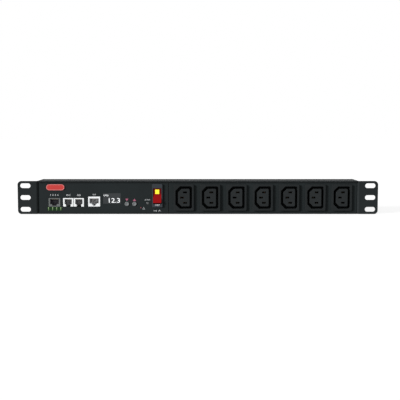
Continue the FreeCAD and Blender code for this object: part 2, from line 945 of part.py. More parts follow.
def rocker_points():
    """Height and depth of the front edge at the rocker's ends, about its pivot, when it is level."""
    rise = size.rocker_face * cosine(size.rocker_tilt)
    end = -size.rocker_ridge - size.rocker_face * sine(size.rocker_tilt)
    return rise, end


def breaker_case():
    """Bezel and closed case in one moulding, with the rocker's well and its bearing holes."""
    body = new_body("breaker_case")
    bezel = sketch_on(body, "bezel_outline", "XZ_Plane", bezel_front)
    rectangle(bezel, breaker_x, size.bezel_centre, size.bezel_width, size.bezel_height, size.bezel_round)
    pad_back(body, "bezel", bezel, size.bezel_thickness)
    case = sketch_on(body, "case_outline", "XZ_Plane", fascia_front)
    rectangle(case, breaker_x, size.bezel_centre, size.case_width, size.case_height)
    pad_back(body, "case", case, size.case_depth)
    rise, end = rocker_points()
    sweep = rise * cosine(size.rocker_tilt) - end * sine(size.rocker_tilt) + size.pass_gap
    well = sketch_on(body, "rocker_well_outline", "XZ_Plane", bezel_front)
    rectangle(well, breaker_x, size.pivot_height, size.rocker_width + size.pass_gap * 2, sweep * 2)
    sunk = size.rocker_back + rise * sine(size.rocker_tilt) + size.pass_gap
    pocket_back(body, "rocker_well", well, size.pivot_depth + sunk)
    bearing = sketch_on(body, "bearing_outline", "YZ_Plane", breaker_x)
    circle(bearing, pivot_y, size.pivot_height, size.pivot_radius + size.pivot_gap)
    pocket_both(body, "bearing_holes", bearing, size.case_width)
    return body


def lens_outline(sketch):
    """Section of the lens, sunk in the upper face of the level rocker."""
    lean = sine(size.rocker_tilt)
    upright = cosine(size.rocker_tilt)
    near = size.rocker_face - size.lens_margin - size.lens_length
    far = size.rocker_face - size.lens_margin
    sunk = size.lens_thickness
    corners = []
    for along, depth in ((near, 0), (far, 0), (far, sunk), (near, sunk)):
        y = -size.rocker_ridge - along * lean + depth * upright
        corners.append((y, along * upright + depth * lean))
    outline(sketch, corners)


def seat_rocker(body):
    """Set a body made about the pivot at its place, with the upper end pressed in."""
    tilt = FreeCAD.Rotation(FreeCAD.Vector(1, 0, 0), size.rocker_tilt.number)
    body.Placement = FreeCAD.Placement(FreeCAD.Vector(), tilt)
    bind(body, "Placement.Rotation.Angle", -size.rocker_tilt)
    place(body, breaker_x, pivot_y, size.pivot_height)


def breaker_rocker():
    """Two-faced rocker with its pivot stubs and the recess for the lens."""
    body = new_body("breaker_rocker")
    section = sketch_on(body, "rocker_section", "YZ_Plane")
    rise, end = rocker_points()
    back = rise - size.rocker_taper
    outline(section, [
        (-size.rocker_ridge, Size.of(0)),
        (end, -rise),
        (size.rocker_back, -back),
        (size.rocker_back, back),
        (end, rise),
    ])
    pad_both(body, "rocker_block", section, size.rocker_width)
    stub = sketch_on(body, "pivot_outline", "YZ_Plane")
    circle(stub, Size.of(0), Size.of(0), size.pivot_radius)
    pad_both(body, "pivot_stubs", stub, size.case_width - size.slide_gap * 2)
    recess = sketch_on(body, "lens_recess_section", "YZ_Plane")
    lens_outline(recess)
    pocket_both(body, "lens_recess", recess, size.lens_width)
    seat_rocker(body)
    return body


def rocker_lens():
    body = new_body("rocker_lens")
    section = sketch_on(body, "lens_section", "YZ_Plane")
    lens_outline(section)
    pad_both(body, "lens_block", section, size.lens_width)
    seat_rocker(body)
    return body


def breaker_terminals():
    """Line and load blades at the back of the case."""
    blades = []
    half = size.terminal_width / 2
    for height in (size.line_terminal_height, size.load_terminal_height):
        blades.append(box(
            f"terminal_{len(blades) + 1}",
            (breaker_x - half, breaker_x + half),
            (case_back, case_back + size.terminal_length),
            (height - size.terminal_thickness / 2, height + size.terminal_thickness / 2),
        ))
    return group("breaker_terminals", blades)


# Display, buttons and indicators

def display_window():
    body = new_body("display_window")
    pane = sketch_on(body, "window_outline", "XZ_Plane", fascia_front + size.window_setback)
    rectangle(pane, display_x, size.display_height, size.window_width, size.window_height)
    pad_back(body, "window_pane", pane, size.window_thickness)
    return body


def display_module():
    """Display on its carrier plate, behind the fascia."""
    body = new_body("display_module")
    carrier = sketch_on(body, "carrier_outline", "XZ_Plane", fascia_back)
    margin = size.module_margin * 2
    rectangle(carrier, display_x, size.display_height, size.window_width + margin,
              size.window_height + margin)
    pad_back(body, "carrier", carrier, size.module_thickness)
    return body


def button(name, x):
    """Round key with a dished face, a collar behind the fascia and a stem into its switch."""
    top = fascia_front - size.button_stand
    collar_front = fascia_back + size.slide_gap
    collar_back = collar_front + size.collar_thickness
    stem_end = board_front - size.switch_height + size.stem_overlap
    radius = size.button_radius
    return turned_body(name, [
        (Size.of(0), top + size.button_dish),
        (radius - size.button_edge, top),
        (radius, top + size.button_edge),
        (radius, collar_front),
        (radius + size.button_collar, collar_front),
        (radius + size.button_collar, collar_back),
        (size.stem_radius, collar_back),
        (size.stem_radius, stem_end),
        (Size.of(0), stem_end),
    ], x, size.button_height)


def button_switches():
    """Switches on the control board, each with a well for a button's stem."""
    switches = []
    half = size.switch_side / 2
    face = board_front - size.switch_height
    for x in button_places:
        number = len(switches) + 1
        block = box(f"switch_block_{number}", (x - half, x + half), (face, board_front),
                    (size.button_height - half, size.button_height + half))
        well = rod(f"switch_well_{number}", "y", size.stem_radius + size.pass_gap,
                   (x, face, size.button_height), size.switch_well)
        switches.append(cut(f"switch_{number}", block, well))
    return group("button_switches", switches)


def indicator(name, x, height, radius):
    """Round light guide from the control board to the front, with a collar behind the fascia."""
    top = fascia_front - size.indicator_stand
    shoulder = top + size.indicator_dome
    collar_back = fascia_back + size.collar_thickness
    return turned_body(name, [
        (Size.of(0), top),
        (radius - size.indicator_dome, top),
        (radius, shoulder),
        (radius, fascia_back),
        (radius + size.indicator_collar, fascia_back),
        (radius + size.indicator_collar, collar_back),
        (radius, collar_back),
        (radius, board_front),
        (Size.of(0), board_front),
    ], x, height)


def bar_led_places():
    first = sensor_x + size.bar_led_shift - size.bar_led_pitch * (BAR_LEDS - 1) / 2
    return [first + size.bar_led_pitch * number for number in range(BAR_LEDS)]


def channel_leds():
    """Four bar-shaped indicators under the sensor jack."""
    bars = []
    half_bar = size.bar_led_width / 2
    half_rise = size.bar_led_height / 2
    for x in bar_led_places():
        bars.append(box(
            f"bar_led_{len(bars) + 1}",
            (x - half_bar, x + half_bar),
            (fascia_front - size.indicator_stand, board_front),
            (size.bar_led_centre - half_rise, size.bar_led_centre + half_rise),
        ))
    return group("channel_leds", bars)


# Modular jacks

def stepped_port(sketch, x, steps, top):
    """A port that narrows downwards in steps, each a width and a height."""
    right = []
    level = top
    for width, height in steps:
        right.append((width / 2, level))
        level = level - height
        right.append((width / 2, level))
    left = [(-half, z) for half, z in reversed(right)]
    outline(sketch, [(x + half, z) for half, z in right + left])


def jack(name, x, width, top, height, roof, steps):
    """Moulded jack on the control board, open to the front."""
    body = new_body(name)
    block = sketch_on(body, f"{name}_outline", "XZ_Plane", jack_front)
    rectangle(block, x, top - height / 2, width, height)
    pad_back(body, f"{name}_block", block, board_front - jack_front)
    port = sketch_on(body, f"{name}_port", "XZ_Plane", jack_front)
    stepped_port(port, x, steps, top - roof)
    pocket_back(body, f"{name}_well", port, size.jack_well_depth)
    return body


def sensor_jack():
    steps = [(size.port_width, size.port_height), (size.latch_width, size.latch_depth)]
    return jack("sensor_jack", sensor_x, size.sensor_width, size.sensor_top, size.sensor_height,
                size.port_roof, steps)


def serial_jack(name, x):
    """Smaller jack whose latch slot runs out at the bottom."""
    run_out = size.serial_height - size.serial_roof - size.port_height
    steps = [(size.serial_port_width, size.port_height), (size.latch_width, run_out)]
    return jack(name, x, size.serial_width, size.serial_top, size.serial_height, size.serial_roof, steps)


def lan_steps():
    return [
        (size.lan_port_width, size.port_height),
        (size.latch_width, size.lan_latch_depth),
        (size.latch_tip_width, size.latch_tip_depth),
    ]


def lan_jack_insert():
    skin = size.lan_skin + size.slide_gap
    width = size.lan_width - skin * 2
    height = size.lan_height - skin * 2
    body = new_body("lan_jack_insert")
    block = sketch_on(body, "lan_insert_outline", "XZ_Plane", jack_front + skin)
    rectangle(block, lan_x, size.lan_top - size.lan_height / 2, width, height)
    pad_back(body, "lan_insert_block", block, board_front - jack_front - skin)
    port = sketch_on(body, "lan_insert_port", "XZ_Plane", jack_front + skin)
    stepped_port(port, lan_x, lan_steps(), size.lan_top - size.lan_roof)
    pocket_back(body, "lan_insert_well", port, size.jack_well_depth - skin)
    return body


def lan_jack_shell():
    """Sheet-metal shield round the insert, open to the back."""
    body = new_body("lan_jack_shell")
    middle = size.lan_top - size.lan_height / 2
    skin = size.lan_skin
    block = sketch_on(body, "lan_shell_outline", "XZ_Plane", jack_front)
    rectangle(block, lan_x, middle, size.lan_width, size.lan_height)
    pad_back(body, "lan_shell_block", block, board_front - jack_front)
    hollow = sketch_on(body, "lan_shell_hollow_outline", "XZ_Plane", jack_front + skin)
    rectangle(hollow, lan_x, middle, size.lan_width - skin * 2, size.lan_height - skin * 2)
    pocket_back(body, "lan_shell_hollow", hollow, board_front - jack_front - skin)
    port = sketch_on(body, "lan_shell_port", "XZ_Plane", jack_front)
    stepped_port(port, lan_x, lan_steps(), size.lan_top - size.lan_roof)
    pocket_back(body, "lan_shell_mouth", port, skin)
    return body


def jack_contacts(name, places, count, roof_height):
    """Sprung contact wires under the roof of each port."""
    wires = []
    start = jack_front + size.wire_contact_inset
    half = size.wire_contact_width / 2
    for x in places:
        for number in range(count):
            centre = x + size.wire_contact_pitch * (number - (count - 1) / 2)
            wires.append(box(
                f"{name}_{len(wires) + 1}",
                (centre - half, centre + half),
                (start, start + size.wire_contact_length),
                (roof_height - size.wire_contact_drop, roof_height),
            ))
    return group(name, wires)


# Control board and what it carries

def control_board():
    body = new_body("control_board")
    half = size.board_height / 2
    plate = sketch_on(body, "board_outline", "XZ_Plane", board_front)
    outline(plate, [(board_left, -half), (board_right, -half), (board_right, half), (board_left, half)])
    pad_back(body, "board_plate", plate, size.board_thickness)
    holes = sketch_on(body, "board_holes", "XZ_Plane", board_front)
    for x, z in standoffs:
        circle(holes, x, z, size.screw_radius + size.pass_gap)
    pocket_back(body, "board_hole_cuts", holes, size.board_thickness)
    return body


def board_standoffs():
    """Tapped pillars between the control fascia and the board."""
    pillars = []
    for x, z in standoffs:
        number = len(pillars) + 1
        foot = (x, fascia_back, z)
        pillar = rod(f"pillar_{number}", "y", size.standoff_radius, foot, size.board_standoff)
        bore = rod(f"pillar_bore_{number}", "y", size.screw_radius + size.slide_gap,
                   (x, board_front - size.standoff_bore_depth, z), size.standoff_bore_depth)
        pillars.append(cut(f"standoff_{number}", pillar, bore))
    return group("board_standoffs", pillars)


def board_screws():
    screws = []
    reach = size.standoff_bore_depth - size.slide_gap + size.board_thickness
    for x, z in standoffs:
        number = len(screws) + 1
        shank = rod(f"board_shank_{number}", "y", size.screw_radius, (x, board_back - reach, z), reach)
        seat = (x, board_back, z)
        head = rod(f"board_head_{number}", "y", size.screw_head_radius, seat, size.screw_head_height)
        screws.append(fuse(f"board_screw_{number}", [shank, head]))
    return group("board_screws", screws)


def supply_module():
    """Potted supply for the electronics, on the back of the board."""
    body = new_body("supply_module")
    block = sketch_on(body, "supply_outline", "XZ_Plane", board_back)
    middle = supply_left + size.supply_length / 2
    rectangle(block, middle, Size.of(0), size.supply_length, size.supply_height, size.supply_round)
    pad_back(body, "supply_block", block, size.supply_depth)
    return body


def current_transformer():
    """Ring on the back of the board, round the incoming line wire."""
    body = new_body("current_transformer")
    ring = sketch_on(body, "ring_outline", "YZ_Plane", transformer_x)
    reach = size.transformer_radius
    top = line_height() + reach
    bottom = line_height() - reach
    far = tail_middle + reach
    corner = reach / 2
    outline(ring, [(board_back, bottom), (far, bottom, corner), (far, top, corner), (board_back, top)])
    circle(ring, tail_middle, line_height(), size.transformer_bore)
    pad_both(body, "ring", ring, size.transformer_length)
    return body


# Inlet

def inlet_barrel_width():
    return size.inlet_well_width + size.inlet_wall * 2


def inlet_barrel_height():
    return size.inlet_well_height + size.inlet_wall * 2


def inlet_pin_places():
    """Neutral, line and earth pins."""
    return (
        (inlet_x - size.inlet_pin_spread, -size.inlet_pin_drop),
        (inlet_x + size.inlet_pin_spread, -size.inlet_pin_drop),
        (inlet_x, size.inlet_pin_drop),
    )


def inlet_shell():
    """Inlet body with its mounting flange outside the rear wall and its well open to the back."""
    body = new_body("inlet_shell")
    flange = sketch_on(body, "inlet_flange_outline", "XZ_Plane", rear)
    rectangle(flange, inlet_x, Size.of(0), size.inlet_flange_width, size.inlet_flange_height,
              size.inlet_flange_round)
    pad_back(body, "inlet_flange", flange, size.inlet_flange_thickness)
    barrel = sketch_on(body, "inlet_barrel_outline", "XZ_Plane", inlet_inner)
    rectangle(barrel, inlet_x, Size.of(0), inlet_barrel_width(), inlet_barrel_height())
    pad_back(body, "inlet_barrel", barrel, rear - inlet_inner)
    well = sketch_on(body, "inlet_well_outline", "XZ_Plane", inlet_floor)
    rectangle(well, inlet_x, Size.of(0), size.inlet_well_width, size.inlet_well_height,
              size.inlet_well_round)
    pocket_back(body, "inlet_well", well, size.inlet_well_depth)
    holes = sketch_on(body, "inlet_holes", "XZ_Plane", inlet_inner)
    for side in (-1, 1):
        circle(holes, inlet_x + size.inlet_screw_spacing * side / 2, Size.of(0),
               size.screw_radius + size.pass_gap)
    for x, z in inlet_pin_places():
        rectangle(holes, x, z, size.inlet_pin_width + size.slide_gap * 2,
                  size.inlet_pin_thickness + size.slide_gap * 2)
    pocket_back(body, "inlet_hole_cuts", holes, inlet_outer - inlet_inner)
    return body


def inlet_pins():
    """Three flat pins, with tails inside for the wires."""
    pins = []
    half = size.inlet_pin_width / 2
    thick = size.inlet_pin_thickness / 2
    for x, z in inlet_pin_places():
        pins.append(box(
            f"inlet_pin_{len(pins) + 1}",
            (x - half, x + half),
            (inlet_inner - size.inlet_tail, inlet_floor + size.inlet_pin_length),
            (z - thick, z + thick),
        ))
    return group("inlet_pins", pins)


def inlet_screws():
    screws = []
    for side in (-1, 1):
        seat = (inlet_x + size.inlet_screw_spacing * side / 2, inlet_outer, Size.of(0))
        screws.append(pan_screw(f"inlet_screw_{len(screws) + 1}", "y", seat, -1))
    return group("inlet_screws", screws)


# Inner wires

BEND_SHARE = 0.45
VOLUME_TOLERANCE = 0.01


def line_height():
    """The line wire lies against the underside of the line pin's tail."""
    return -size.inlet_pin_drop - size.inlet_pin_thickness / 2 - size.wire_radius


def wire(name, route):
    """A round wire along straight runs joined by tangent arcs, as large as the runs allow."""
    points = [vector(point) for point in route]
    edges = []
    here = points[0]
    for before, corner, after in zip(points, points[1:], points[2:]):
        back = before - corner
        ahead = after - corner
        reach = BEND_SHARE * min(back.Length, ahead.Length)
        half_turn = (math.pi - back.getAngle(ahead)) / 2
        radius = reach / math.tan(half_turn)
        start = corner + back.normalize() * reach
        end = corner + ahead.normalize() * reach
        inwards = (back + ahead).normalize()
        middle = corner + inwards * (math.hypot(radius, reach) - radius)
        edges.append(Part.LineSegment(here, start).toShape())
        edges.append(Part.Arc(start, middle, end).toShape())
        here = end
    edges.append(Part.LineSegment(here, points[-1]).toShape())
    path = Part.Wire(edges)
    heading_out = (points[1] - points[0]).normalize()
    section = Part.Wire(Part.makeCircle(size.wire_radius.number, points[0], heading_out))
    tube = doc.addObject("Part::Feature", name)
    tube.Shape = path.makePipeShell([section], True, True)
    expected = math.pi * size.wire_radius.number ** 2 * path.Length
    if abs(tube.Shape.Volume - expected) > VOLUME_TOLERANCE * expected:
        raise ValueError(f"{name}: the tube's volume differs from its section times its length")
    return tube


def line_wire_in():
    """From the line pin through the current transformer to the breaker."""
    pin_x = inlet_x + size.inlet_pin_spread
    blade_y = case_back + size.terminal_length / 2
    bend = transformer_x + size.transformer_length
    blade_bottom = size.line_terminal_height - size.terminal_thickness / 2 - size.wire_radius
    return wire("line_wire_in", [
        (pin_x - size.wire_radius, tail_middle, line_height()),
        (bend, tail_middle, line_height()),
        (breaker_x - size.terminal_width, blade_y, blade_bottom),
        (breaker_x + size.terminal_width / 2, blade_y, blade_bottom),
    ])


def busbar_end(bar_start, height, run_up):
    """Where a wire lies on the back of a busbar's left end: its tip, and where it turns that way."""
    y = bar_start + size.bar_thickness + size.wire_radius
    low = first_outlet - size.bar_lead
    return (low + size.wire_lap, y, height), (low + run_up, y, height)


def line_wire_out():
    """From the breaker to the live busbar."""
    tip, approach = busbar_end(bar_front, size.pin_rise, -size.wire_run_up)
    blade_y = case_back + size.terminal_length / 2
    blade_bottom = size.load_terminal_height - size.terminal_thickness / 2 - size.wire_radius
    return wire("line_wire_out", [
        (breaker_x - size.terminal_width / 2, blade_y, blade_bottom),
        (breaker_x + size.terminal_width, blade_y, blade_bottom),
        approach,
        tip,
    ])


def side_wire(name, pin_x, side, tip, approach):
    """From a pin's tail round the breaker, above or below, to a busbar."""
    tail_face = (size.inlet_pin_drop + size.inlet_pin_thickness / 2) * side
    lane = size.wire_lane_height * side
    lane_start = pin_x + size.lane_lead
    past_breaker = breaker_x + size.case_width / 2 + size.lane_overrun
    return wire(name, [
        (pin_x, tail_middle, tail_face),
        (pin_x, tail_middle, lane),
        (lane_start, tail_middle, lane),
        (lane_start + size.lane_step, size.wire_lane_depth, lane),
        (past_breaker, size.wire_lane_depth, lane),
        approach,
        tip,
    ])


def neutral_wire():
    tip, approach = busbar_end(bar_front, -size.pin_rise, -size.wire_run_up)
    return side_wire("neutral_wire", inlet_x - size.inlet_pin_spread, -1, tip, approach)


def earth_wire():
    tip, approach = busbar_end(earth_bar_front, Size.of(0), size.earth_wire_turn)
    return side_wire("earth_wire", inlet_x, 1, tip, approach)


# Assembly

def build_pieces():
    pieces = [
        housing_profile(),
        ear_bracket("left_ear_bracket", -1),
        ear_bracket("right_ear_bracket", 1),
        bracket_screws("left_bracket_screws", -1),
        bracket_screws("right_bracket_screws", 1),
        control_fascia(),
        outlet_fascia(),
        badge_plate(),
    ]
    for number in range(OUTLETS):
        x = first_outlet + size.outlet_pitch * number
        pieces.append(outlet_shell(f"outlet_{number + 1}_shell", x))
        pieces.append(outlet_core(f"outlet_{number + 1}_core", x))
    bar_starts = (bar_front, bar_front, earth_bar_front)
    for pole, (offset, height), start in zip(("live", "neutral", "earth"), contact_places(), bar_starts):
        pieces.append(contact_row(f"{pole}_contacts", offset, height, start))
        pieces.append(busbar(f"{pole}_busbar", offset, height, start))
    pieces += [
        breaker_case(),
        breaker_rocker(),
        rocker_lens(),
        breaker_terminals(),
        display_window(),
        display_module(),
        button("button_down", button_places[0]),
        button("button_up", button_places[1]),
        button_switches(),
        indicator("status_led", status_x, size.status_height, size.status_radius),
        indicator("alarm_led", alarm_x, size.alarm_height, size.alarm_radius),
        channel_leds(),
        sensor_jack(),
        serial_jack("serial_jack_1", serial_places[0]),
        serial_jack("serial_jack_2", serial_places[1]),
        lan_jack_insert(),
        lan_jack_shell(),
        jack_contacts("sensor_jack_contacts", [sensor_x], WIDE_PORT_COUNT,
                      size.sensor_top - size.port_roof),
        jack_contacts("serial_jack_contacts", serial_places, NARROW_PORT_COUNT,
                      size.serial_top - size.serial_roof),
        jack_contacts("lan_jack_contacts", [lan_x], WIDE_PORT_COUNT, size.lan_top - size.lan_roof),
        control_board(),
        board_standoffs(),
        board_screws(),
        supply_module(),
        current_transformer(),
        inlet_shell(),
        inlet_pins(),
        inlet_screws(),
        line_wire_in(),
        line_wire_out(),
        neutral_wire(),
        earth_wire(),
    ]
    return pieces


def check(pieces):
    """Stop if anything failed to build."""
    for item in doc.Objects:
        if "Invalid" in item.State or "Error" in item.State:
            raise RuntimeError(f"{item.Label} failed: {item.State}")
    for piece in pieces:
        if piece.Shape.isNull() or not piece.Shape.isValid() or not piece.Shape.Solids:
            raise RuntimeError(f"{piece.Label} has no valid solid")


def main():
    pieces = build_pieces()
    doc.recompute()
    check(pieces)
    os.makedirs("parts", exist_ok=True)
    for piece in pieces:
        piece.Shape.exportStep(f"parts/{piece.Label}.step")
        print(piece.Label, len(piece.Shape.Solids), round(piece.Shape.Volume, 1))


main()
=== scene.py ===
"""Looks of a rack power distribution unit: finishes, edges, printed marks, screws, light and camera.

Everything is in metres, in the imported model's own frame: X along the unit, Y from front to back, Z up.
"""

import logging
import math
from dataclasses import dataclass
from enum import Enum

import bmesh
import bpy
from mathutils import Matrix, Vector


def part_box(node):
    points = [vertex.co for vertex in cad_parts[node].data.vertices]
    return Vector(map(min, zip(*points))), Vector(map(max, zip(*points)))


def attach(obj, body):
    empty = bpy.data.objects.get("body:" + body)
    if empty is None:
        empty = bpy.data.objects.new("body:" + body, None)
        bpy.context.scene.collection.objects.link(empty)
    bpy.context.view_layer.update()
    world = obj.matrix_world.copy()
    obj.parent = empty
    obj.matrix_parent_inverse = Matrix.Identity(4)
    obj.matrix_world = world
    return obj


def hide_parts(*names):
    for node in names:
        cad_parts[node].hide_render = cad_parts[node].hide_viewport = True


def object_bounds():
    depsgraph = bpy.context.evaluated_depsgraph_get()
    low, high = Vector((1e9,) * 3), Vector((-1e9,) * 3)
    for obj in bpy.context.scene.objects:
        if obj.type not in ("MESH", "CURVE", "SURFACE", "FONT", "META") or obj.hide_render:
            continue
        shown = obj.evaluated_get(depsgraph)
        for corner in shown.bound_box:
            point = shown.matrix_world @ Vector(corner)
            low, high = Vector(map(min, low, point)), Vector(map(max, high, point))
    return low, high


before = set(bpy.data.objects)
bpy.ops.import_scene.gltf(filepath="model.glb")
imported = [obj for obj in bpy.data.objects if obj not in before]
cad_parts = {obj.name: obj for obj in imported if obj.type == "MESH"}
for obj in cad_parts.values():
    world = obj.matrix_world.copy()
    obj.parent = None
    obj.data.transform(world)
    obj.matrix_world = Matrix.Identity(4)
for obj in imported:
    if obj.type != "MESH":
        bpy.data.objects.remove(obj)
CAD_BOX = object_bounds()

LOG = logging.getLogger("rack_power_unit")
MM = 0.001
UNIT = "unit"
OUTLET_COUNT = 7
QUARTER_TURN = math.pi / 2
WHITE = (1.0, 1.0, 1.0, 1.0)
WHOLE = (0.0, 1.0)

Colour = tuple[float, float, float]
Pair = tuple[float, float]
Socket = bpy.types.NodeSocket

# Noise on surfaces: how fine it is, and the ranges that its values mostly keep to
BROAD_PER_METRE = 22.0
BROAD_DETAIL = 4.0
FINE_DETAIL = 3.0
NOISE_RANGE = (0.3, 0.7)
NOISE_SUM_RANGE = (0.7, 1.3)
STRIPES_PER_METRE = 60.0
STRIPE_RANGE = (0.45, 0.55)
ROUGHNESS_SPREAD = 0.06
LEAST_ROUGHNESS = 0.02

# Worn edges: their reach, the cosines between which wear sets in, and how much paler it is
WEAR_REACH = 0.5 * MM
WEAR_COSINES = (0.99, 0.80)
RUBBED_LIFT = 0.18

# Edges: what counts as one corner, as flat, and as sharp
WELD_REACH = 0.001 * MM
FLAT_ANGLE = math.radians(0.5)
EDGE_ANGLE = math.radians(35)

# Lettering: thickness and joining distance as shares of the font size, and points along each curve
LETTER_DEPTH = 0.5
LETTER_JOIN = 0.001
LETTER_STEPS = 4

# Sockets of a colour mix node, by their place: its share, its two colours and the result
MIX_SHARE = 0
MIX_FIRST = 6
MIX_SECOND = 7
MIX_RESULT = 2


def shade(red: int, green: int, blue: int) -> Colour:
    """Turn a display colour into the linear values that shaders use.

    Args:
        red: Red, 0 to 255.
        green: Green, 0 to 255.
        blue: Blue, 0 to 255.

    Returns:
        The linear colour.
    """
    def linear(level: int) -> float:
        """Undo the standard display curve for one channel."""
        share = level / 255
        return share / 12.92 if share <= 0.04045 else ((share + 0.055) / 1.055) ** 2.4

    return linear(red), linear(green), linear(blue)


def opaque(colour: Colour, factor: float = 1.0) -> tuple[float, float, float, float]:
    """Scale a colour and give it full cover."""
    return colour[0] * factor, colour[1] * factor, colour[2] * factor, 1.0


# Finishes

@dataclass(frozen=True)
class Grain:
    """Fine relief of a surface: features per metre, their depth, and their stretch per axis."""

    per_metre: float
    depth: float
    stretch: tuple[float, float, float] = (1.0, 1.0, 1.0)


class Texture(Enum):
    """How a surface was made, which sets its grain."""

    POWDER = Grain(per_metre=2400.0, depth=0.00005)
    EXTRUDED = Grain(per_metre=1500.0, depth=0.000004, stretch=(0.012, 1.0, 1.0))
    MOULDED = Grain(per_metre=3200.0, depth=0.00002)
    BRUSHED = Grain(per_metre=5000.0, depth=0.000008, stretch=(0.04, 1.0, 1.0))
    POLISHED = Grain(per_metre=450.0, depth=0.000003)


class Graph:
    """A material's shader nodes, added and joined in short calls."""

    def __init__(self, tree: bpy.types.NodeTree) -> None:
        """Start from an empty tree."""
        self.tree = tree
        self.tree.nodes.clear()

    def add(self, kind: str, **inputs: object) -> bpy.types.Node:
        """Add a node and set or link its inputs.

        Args:
            kind: The node's type, without its common prefix.
            inputs: Values or sockets by input name, with underscores for spaces.

        Returns:
            The node.
        """
        node = self.tree.nodes.new("ShaderNode" + kind)
        for name, value in inputs.items():
            self.feed(node.inputs[name.replace("_", " ")], value)
        return node

    def feed(self, socket: Socket, value: object) -> None:
        """Link a socket to another, or set its value.

        Args:
            socket: The input.
            value: A socket to link, or a plain value.
        """
        if isinstance(value, Socket):
            self.tree.links.new(value, socket)
        else:
            socket.default_value = value

    def join(self, kind: str, first: Socket, second: Socket, operation: str = "") -> bpy.types.Node:
        """Add a node that works on its first two inputs.

        Args:
            kind: The node's type, without its common prefix.
            first: What goes into its first input.
            second: What goes into its second input.
            operation: What it does, where it can do several things.

        Returns:
            The node.
        """
        node = self.add(kind)
        if operation:
            node.operation = operation
        self.feed(node.inputs[0], first)
        self.feed(node.inputs[1], second)
        return node

    def noise(self, place: Socket, per_metre: float, detail: float) -> Socket:
        """Add noise of the given fineness at a place."""
        return self.add("TexNoise", Vector=place, Scale=per_metre, Detail=detail).outputs["Fac"]

    def span(self, source: Socket, start: Pair, end: Pair) -> Socket:
        """Carry a value from one range to another, held at both ends.

        Args:
            source: The value.
            start: The range that it has.
            end: The range that it gets.

        Returns:
            The new value.
        """
        node = self.add("MapRange", Value=source, From_Min=start[0], From_Max=start[1],
                        To_Min=end[0], To_Max=end[1])
        return node.outputs["Result"]

    def blend(self, share: object, first: object, second: object) -> Socket:
        """Mix two colours.

        Args:
            share: How much of the second colour.
            first: A colour or socket.
            second: A colour or socket.

        Returns:
            The mixed colour.
        """
        node = self.add("Mix")
        node.data_type = "RGBA"
        for index, value in ((MIX_SHARE, share), (MIX_FIRST, first), (MIX_SECOND, second)):
            self.feed(node.inputs[index], value)
        return node.outputs[MIX_RESULT]


@dataclass(frozen=True)
class Finish:
    """A surface: its colour, gloss, grain, slow drift of colour, and lighter wear along its edges."""

    name: str
    colour: Colour
    texture: Texture
    roughness: float
    metallic: float = 0.0
    specular: float = 0.5
    glow: float = 0.0
    drift: float = 0.12
    wear: float = 0.25

    def material(self) -> bpy.types.Material:
        """Make the material once and hand out the same one afterwards.

        Returns:
            The material.
        """
        made = bpy.data.materials.get(self.name)
        if made:
            return made
        made = bpy.data.materials.new(self.name)
        made.use_nodes = True
        graph = Graph(made.node_tree)
        surface = graph.add("BsdfPrincipled", Metallic=self.metallic, Specular_IOR_Level=self.specular)
        grain = self.texture.value
        place = graph.add("TexCoord").outputs["Object"]
        stretched = graph.add("Mapping", Vector=place, Scale=grain.stretch).outputs["Vector"]
        fine = graph.noise(stretched, grain.per_metre, FINE_DETAIL)
        broad = graph.noise(place, BROAD_PER_METRE, BROAD_DETAIL)
        colour = self.paint(graph, place, broad)
        graph.feed(surface.inputs["Base Color"], colour)
        graph.feed(surface.inputs["Roughness"], self.gloss(graph, fine, broad))
        relief = graph.add("Bump", Height=fine, Distance=grain.depth)
        graph.feed(surface.inputs["Normal"], relief.outputs["Normal"])
        if self.glow:
            graph.feed(surface.inputs["Emission Color"], colour)
            surface.inputs["Emission Strength"].default_value = self.glow
        output = graph.add("OutputMaterial")
        graph.feed(output.inputs["Surface"], surface.outputs["BSDF"])
        return made

    def gloss(self, graph: Graph, fine: Socket, broad: Socket) -> Socket:
        """Let the roughness vary a little about its value.

        Args:
            graph: The material's nodes.
            fine: Fine noise.
            broad: Slow noise.

        Returns:
            The roughness.
        """
        least = max(self.roughness - ROUGHNESS_SPREAD, LEAST_ROUGHNESS)
        most = min(self.roughness + ROUGHNESS_SPREAD, 1.0)
        both = graph.join("Math", fine, broad, "ADD").outputs[0]
        return graph.span(both, NOISE_SUM_RANGE, (least, most))

    def paint(self, graph: Graph, place: Socket, broad: Socket) -> Socket:
        """Lay down the colour, with its drift and its worn edges.

        Args:
            graph: The material's nodes.
            place: Object coordinates, for finishes whose colour changes from place to place; not used
                here.
            broad: Slow noise.

        Returns:
            The colour.
        """
        share = graph.span(broad, NOISE_RANGE, WHOLE)
        darker = opaque(self.colour, 1 - self.drift)
        lighter = opaque(self.colour, 1 + self.drift)
        body = graph.blend(share, darker, lighter)
        softened = graph.add("Bevel", Radius=WEAR_REACH).outputs["Normal"]
        flat = graph.add("NewGeometry").outputs["Normal"]
        facing = graph.join("VectorMath", softened, flat, "DOT_PRODUCT").outputs["Value"]
        edge = graph.span(facing, WEAR_COSINES, (0.0, self.wear))
        rubbed = tuple(level + (1 - level) * RUBBED_LIFT for level in self.colour)
        return graph.blend(edge, body, opaque(rubbed))


@dataclass(frozen=True)
class StripedFinish(Finish):
    """Insulation of two colours in stripes along the wire."""

    second: Colour = (0.8, 0.7, 0.05)

    def paint(self, graph: Graph, place: Socket, broad: Socket) -> Socket:
        """Lay down the stripes.

        Args:
            graph: The material's nodes.
            place: Object coordinates.
            broad: Slow noise, which stripes don't need.

        Returns:
            The colour.
        """
        wave = graph.add("TexWave", Vector=place, Scale=STRIPES_PER_METRE).outputs["Fac"]
        share = graph.span(wave, STRIPE_RANGE, WHOLE)
        return graph.blend(share, opaque(self.colour), opaque(self.second))


class Along(Enum):
    """The way in which a colour changes."""

    DEPTH = "Y"
    HEIGHT = "Z"


